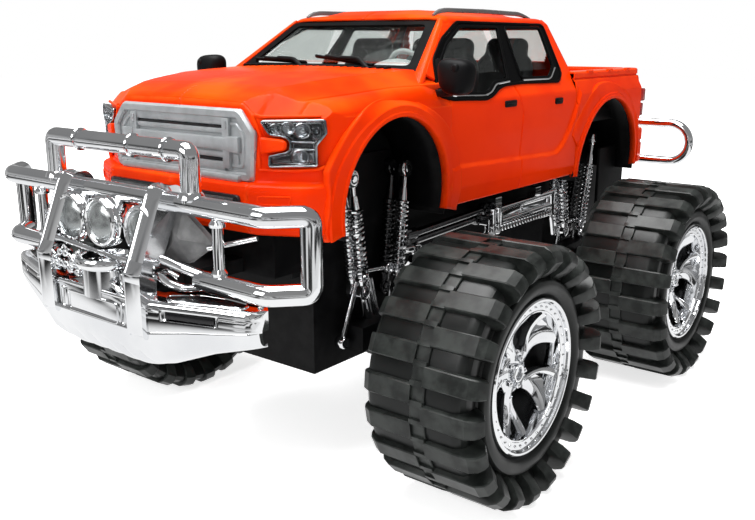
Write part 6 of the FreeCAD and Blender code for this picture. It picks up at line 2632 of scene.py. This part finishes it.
# ---- running gear ------------------------------------------------------------------------
@dataclass
class Shocks(Assembly):
    """Dampers with coil springs: an outer and an inner pair at each wheel, with their arms.

    Attributes:
        x: Distances of each pair's outer and inner unit from the centre plane.
        spring: Mean radius of the coils.
        wire: Radius of the spring's wire.
        turns: Turns in each spring.
    """

    x: Flat = (54.0, 46.2)
    spring: float = 2.65
    wire: float = 0.62
    turns: int = 15

    def unit(self, upper: Flat, lower: Flat) -> Skin:
        """One damper between its upper and lower eyes, given as (y, z).

        The spring's wire follows (R cos 2 pi n t, R sin 2 pi n t, h(t)), with t from 0 to 1
        over n turns and the end turns drawn close.

        Args:
            upper: The upper eye.
            lower: The lower eye.

        Returns:
            The damper, in the plane x = 0.
        """
        start, end = (np.array([0.0, *place]) for place in (lower, upper))
        length = float(np.linalg.norm(end - start))
        t = np.linspace(0, 1, self.turns * 16)
        low, high = 0.12 * length, 0.72 * length
        height = low + (high - low) * (t - 0.03 * np.sin(2 * np.pi * t))
        turn = 2 * np.pi * self.turns * t
        coil = sweep(np.column_stack([self.spring * np.cos(turn), self.spring * np.sin(turn),
                                      height]), circle(self.wire, 6))
        rod = revolved([(1.15, 3.0), (1.15, length - 3.6), (0.02, length - 3.2)], 16,
                       closed=False)
        body = revolved([(1.5, 2.0), (2.2, 2.8), (2.2, low - 1.4), (3.3, low - 1.0),
                         (3.5, low - 0.4), (3.3, low), (1.9, low), (1.9, high),
                         (3.3, high), (3.4, high + 0.7), (2.2, high + 1.2),
                         (1.6, high + 7.0), (0.02, high + 7.2)], 22, closed=False)
        eye = revolved([(2.2, -1.5), (3.5, -1.5), (4.0, -1.1), (4.0, 1.1), (3.5, 1.5),
                        (2.2, 1.5)], 28)
        pin = revolved([(0.02, -2.0), (1.4, -2.0), (1.7, -1.6), (1.7, 1.6), (1.4, 2.0),
                        (0.02, 2.0)], 6, closed=False)
        eyes = [skin.placed((0, 0, z), X_OUT) for skin in (eye, pin) for z in (0.0, length)]
        shaft = join([coil, rod, body, *eyes])
        ahead = (end - start) / length
        side = np.array([1.0, 0.0, 0.0])
        return shaft.placed(start, np.stack([side, np.cross(ahead, side), ahead]))

    def leg(self, start: Flat, end: Flat, radius: float) -> Skin:
        """A plated arm between two (y, z) places, with a boss at its foot.

        Args:
            start: Its top.
            end: Its foot.
            radius: The arm's radius.

        Returns:
            The arm, in the plane x = 0.
        """
        arm = tube([(0, *start), (0, *end)], radius, sides=14)
        boss = revolved([(0.02, -2.4), (2.4, -2.4), (2.8, -1.8), (2.8, 1.8), (2.4, 2.4),
                         (0.02, 2.4)], 18, closed=False)
        return join([arm, boss.placed((0, *end), X_OUT)])

    def build(self) -> None:
        """Adds the twin units of all four wheels with the arms below them."""
        sets = (
            ("front", self.layout.front_y, (((-28, 138), (-20.4, 86)), ((10.9, 138), (4.6, 82))),
             (((-21, 90), (-31.7, 64), 1.4), ((-18.4, 92), (-9.4, 58), 2.7),
              ((-12, 90), (-3.6, 60), 1.5), ((4.6, 82), (0.5, 64), 1.7),
              ((-14.4, 93.6), (1.0, 92.2), 1.0), ((10, 98.2), (24, 97.2), 2.0))),
            ("rear", self.layout.rear_y, (((-21, 137), (-9.6, 79)), ((24.6, 133.5), (12, 75))),
             (((-9.6, 79), (-16, 62), 1.6), ((-9.6, 79), (-5, 60), 1.6),
              ((12, 75), (8, 60), 1.8), ((-12, 84), (13, 82), 1.0))))
        for end, middle, units, legs in sets:
            made = [self.unit(*places).moved((self.x[0], 0, 0)) for places in units]
            made.append(self.unit(*units[0]).moved((self.x[1] + 2.0, 0, 0)))
            twin = self.unit(*units[1]).moved((self.x[1], middle, 0))
            made += [self.leg(*row).moved((self.x[0] - 3.5, 0, 0)) for row in legs]
            pair = join(made).moved((0, middle, 0))
            for side in ("left", "right"):
                outer, inner = ((pair, twin) if side == "left" else
                                (pair.flipped(), twin.flipped()))
                self.kit.add(f"{end}_{side}_dampers", outer, "chrome_bright",
                             replaces=[f"{end}_{side}_shocks"], sharp=40)
                self.kit.add(f"{end}_{side}_inner_damper", inner, "steel_plain", sharp=40)


@dataclass
class SideFrames(Assembly):
    """Plated side frames between the wheels: columns, ribbed rows, slots and link rods.

    Attributes:
        x: Inner and outer faces.
        reach: Lowest and highest Y, from the front axle.
        z: Lower and upper edges.
    """

    x: Flat = (45.0, 57.6)
    reach: Flat = (84.5, 161.5)
    z: Flat = (93.4, 107.8)

    def frame(self) -> Skin:
        """The left frame.

        Returns:
            The surface, drawn from the front axle.
        """
        inner, outer = self.x
        low, high = self.z
        back, front = self.reach
        made = [block((inner, back, low + 5.0), (outer - 3.0, front, high - 1.6), 0.6),
                tube([(outer - 2.4, back, high - 1.8), (outer - 2.4, front, high - 0.8)], 1.9,
                     sides=14),
                tube([(outer - 2.4, back + 1, low + 5.4), (outer - 2.4, front, low + 6.0)],
                     1.7, sides=14),
                tube([(outer - 2.4, back + 9, low + 1.4), (outer - 2.4, front - 3, low + 0.6),
                      (outer - 2.4, front + 1, low - 13.0)], 1.3, 5.0, 12)]
        ribs = [block((outer - 3.4, y, low + 4.0), (outer - 0.4, y + 1.7, high - 3.0), 0.4)
                for y in (back + 1.0, back + 6.5, back + 11.0)]
        columns = [revolved([(2.4, low - 0.6), (3.4, low + 0.2), (2.9, low + 1.6),
                             (2.9, high - 1.2), (3.4, high - 0.4), (2.4, high)], 22)
                   .moved((outer - 3.0, y, 0)) for y in (back + 3.5, back + 9, front - 4)]
        ring = rect((back + 38, high - 7.4), (front - 4, high - 3.4), 1.8, 4)
        slot = sweep(np.column_stack([np.full(len(ring), outer - 2.8), ring]), circle(0.7, 8),
                     closed=True)
        knots = [revolved([(0.02, -1.3), (1.4, -1.0), (1.8, 0), (1.4, 1.0), (0.02, 1.3)], 12,
                          closed=False).placed((outer - 2.0, y, low + 1.6), X_OUT)
                 for y in np.arange(back + 12, front - 3, 3.3)]
        tabs = [block((outer - 6.0, y, high - 1.0), (outer - 0.8, y + 6.5, high + 5.5), 0.7)
                for y in (back + 5, back + 50)]
        return join([*made, *ribs, *columns, slot, *knots, *tabs])

    def rods(self) -> Skin:
        """The left link rods with their end eyes and the U bracket.

        Returns:
            The surface, drawn from the front axle.
        """
        back = self.reach[0]
        made = []
        for y0, y1, x, z0, z1 in ((16, back + 2, 51.0, 104.6, 107.0),
                                  (18, back, 47.6, 99.5, 101.6)):
            made.append(tube([(x, y0, z0), (x, y1, z1)], 1.9, sides=16))
            for y, z in ((y0, z0), (y1, z1)):
                eye = revolved([(1.6, -2.2), (3.2, -2.0), (3.5, 0), (3.2, 2.0), (1.6, 2.2)], 20)
                made.append(eye.placed((x, y, z), X_OUT))
            sleeve = revolved([(1.9, 0), (2.8, 0.4), (2.8, 8.6), (1.9, 9)], 18)
            made.append(sleeve.placed((x, y0 + 7, z0 + 0.3), frame_axes((0, 0, 1), (-1, 0, 0))))
        bracket = tube([(54.5, 21, 99.0), (54.5, 21, 94.5), (54.5, 33, 94.5),
                        (54.5, 33, 99.0)], 1.3, 2.2, 12)
        strut = tube([(50.0, 22.0, 92.0), (50.0, 32.0, 86.5)], 2.2, sides=14)
        return join([*made, bracket, strut])

    def build(self) -> None:
        """Adds both sides."""
        self.put("plated_side_frames", self.frame().both(), "chrome_bright",
                 ["side_frames"], sharp=36)
        self.put("plated_link_rods", self.rods().both(), "steel_plain", ["link_rods"],
                 sharp=36)


# ---- stage -------------------------------------------------------------------------------
@dataclass
class Studio:
    """Camera, lamps, pale floor and white surroundings.

    Attributes:
        camera_at: Camera position in metres.
        camera_turn: Camera rotation about X, Y and Z in degrees.
        lens: Focal length in millimetres on a 36 mm wide sensor.
    """

    camera_at: Point = (0.2893, -0.3833, 0.1960)
    camera_turn: Point = (75.616, 0.0, 38.186)
    lens: float = 41.006

    def camera(self) -> None:
        """Creates the camera and makes it the scene's own."""
        data = bpy.data.cameras.new("camera")
        data.lens, data.sensor_width, data.sensor_fit = self.lens, 36.0, "HORIZONTAL"
        data.clip_start = 0.01
        eye = bpy.data.objects.new("camera", data)
        eye.location = self.camera_at
        eye.rotation_euler = [math.radians(angle) for angle in self.camera_turn]
        bpy.context.scene.collection.objects.link(eye)
        bpy.context.scene.camera = eye

    def lamp(self, name: str, at: Point, size: Flat, power: float) -> None:
        """A soft rectangular lamp aimed at the truck's middle.

        Args:
            name: Lamp name.
            at: Its place in metres.
            size: Width and height in metres.
            power: Power in watts.
        """
        data = bpy.data.lights.new(name, "AREA")
        data.shape, data.size, data.size_y, data.energy = "RECTANGLE", size[0], size[1], power
        lamp = bpy.data.objects.new(name, data)
        lamp.location = at
        aim = np.array([0.0, 0.0, 0.09]) - np.array(at)
        lamp.rotation_euler = (math.acos(-aim[2] / np.linalg.norm(aim)), 0.0,
                               math.atan2(aim[1], aim[0]) - math.pi / 2)
        bpy.context.scene.collection.objects.link(lamp)

    @staticmethod
    def seen(tree: bpy.types.NodeTree) -> bpy.types.NodeSocket:
        """One for rays from the camera, straight or through a pane, and nought for others."""
        ways = tree.nodes.new("ShaderNodeLightPath").outputs
        return math_node(tree, "MAXIMUM", ways["Is Camera Ray"], ways["Is Transmission Ray"])

    def world(self) -> None:
        """White to the camera; to light and reflections, a pale room with dark gaps."""
        world = bpy.data.worlds.new("surroundings")
        bpy.context.scene.world = world
        world.use_nodes = True
        tree = world.node_tree
        paper, end = tree.nodes["Background"], tree.nodes["World Output"]
        paper.inputs["Color"].default_value = (1.0, 1.0, 1.0, 1.0)
        room = tree.nodes.new("ShaderNodeBackground")
        diffuse = tree.nodes.new("ShaderNodeLightPath").outputs["Is Diffuse Ray"]
        heading = tree.nodes.new("ShaderNodeTexCoord").outputs["Generated"]
        split = tree.nodes.new("ShaderNodeSeparateXYZ")
        tree.links.new(heading, split.inputs[0])
        patches = noise(tree, heading, detail=1.0, scale=2.4)
        gaps = spread(tree, patches.outputs["Fac"], (0.44, 0.56), (0.02, 0.5))
        above = spread(tree, split.outputs["Z"], (0.0, 0.35), (0.0, 1.0))
        calm = tree.nodes.new("ShaderNodeMix")
        tree.links.new(above, calm.inputs[0])
        tree.links.new(gaps, calm.inputs[2])
        calm.inputs[3].default_value = 0.24
        soft = math_node(tree, "MULTIPLY", diffuse, 0.42)
        level = math_node(tree, "MAXIMUM", calm.outputs[0], soft)
        tree.links.new(level, room.inputs["Color"])
        tree.links.new(mixed(tree, self.seen(tree), room.outputs[0], paper.outputs[0]),
                       end.inputs["Surface"])

    def floor(self) -> None:
        """A pale floor that turns white to the camera away from the truck's shadow."""
        bpy.ops.mesh.primitive_plane_add(size=8.0)
        floor = bpy.context.object
        floor.name = "floor"
        made = bpy.data.materials.new("floor_paper")
        made.use_nodes = True
        tree = made.node_tree
        shader, end = tree.nodes["Principled BSDF"], tree.nodes["Material Output"]
        shader.inputs["Base Color"].default_value = (0.93, 0.93, 0.93, 1.0)
        shader.inputs["Roughness"].default_value = 0.9
        glow = tree.nodes.new("ShaderNodeEmission")
        place = tree.nodes.new("ShaderNodeTexCoord").outputs["Object"]
        length = tree.nodes.new("ShaderNodeVectorMath")
        length.operation = "LENGTH"
        tree.links.new(place, length.inputs[0])
        far = spread(tree, length.outputs["Value"], (0.24, 0.60), (0.72, 1.0))
        tree.links.new(math_node(tree, "MULTIPLY", self.seen(tree), far),
                       glow.inputs["Strength"])
        add = tree.nodes.new("ShaderNodeAddShader")
        tree.links.new(shader.outputs["BSDF"], add.inputs[0])
        tree.links.new(glow.outputs[0], add.inputs[1])
        patches = noise(tree, place, detail=0.0, scale=3.1)
        rest = spread(tree, patches.outputs["Fac"], (0.45, 0.55), (0.02, 0.8))
        near = spread(tree, length.outputs["Value"], (0.40, 0.62), (1.0, 0.0))
        mirrored = tree.nodes.new("ShaderNodeEmission")
        tree.links.new(math_node(tree, "MAXIMUM", near, rest), mirrored.inputs["Strength"])
        glossy = tree.nodes.new("ShaderNodeLightPath").outputs["Is Glossy Ray"]
        tree.links.new(mixed(tree, glossy, add.outputs[0], mirrored.outputs[0]),
                       end.inputs["Surface"])
        floor.data.materials.append(made)
        floor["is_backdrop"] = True

    def build(self) -> None:
        """Sets the whole stage and the display transform."""
        self.camera()
        self.world()
        self.floor()
        self.lamp("top", (-0.1, -0.2, 1.3), (1.2, 0.9), 34.0)
        self.lamp("front", (-0.25, -1.2, 0.7), (0.8, 0.5), 6.0)
        bpy.context.scene.view_settings.view_transform = "Standard"


NODE_FINISHES = {
    "windscreen": "screen_clear", "rear_window": "window_clear",
    "side_windows_left": "window_clear", "side_windows_right": "window_clear",
    "rear_loop": "chrome_bright", "rear_loop_stays": "chrome_bright",
}
"""Finishes of the solids that show as they are; the others among them are black."""


# ---- the whole truck ---------------------------------------------------------------------
def corners() -> list[list[float]]:
    """The shown model's lowest and highest corner, in metres."""
    return [[round(value, 5) for value in corner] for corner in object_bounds()]


def main() -> None:
    """Builds the truck round its solids."""
    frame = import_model()
    layout = Layout.read()
    LOG.info("layout: %s", layout)
    kit = Kit()
    Studio().build()
    for name, node in sorted(frame["nodes"].items()):
        kit.dress(node, NODE_FINISHES.get(name, "black_satin"))
    for assembly in (Wheels, FrontBody, CabBody, BedBody, BullBar, SkidPlate, Grille,
                     Headlight, Shocks, SideFrames, Cabin, Trim):
        LOG.info("building %s", assembly.__name__)
        assembly(kit, layout).build()


if __name__ == "__main__":
    logging.basicConfig(level=logging.INFO, format="%(message)s", stream=sys.stdout)
    main()
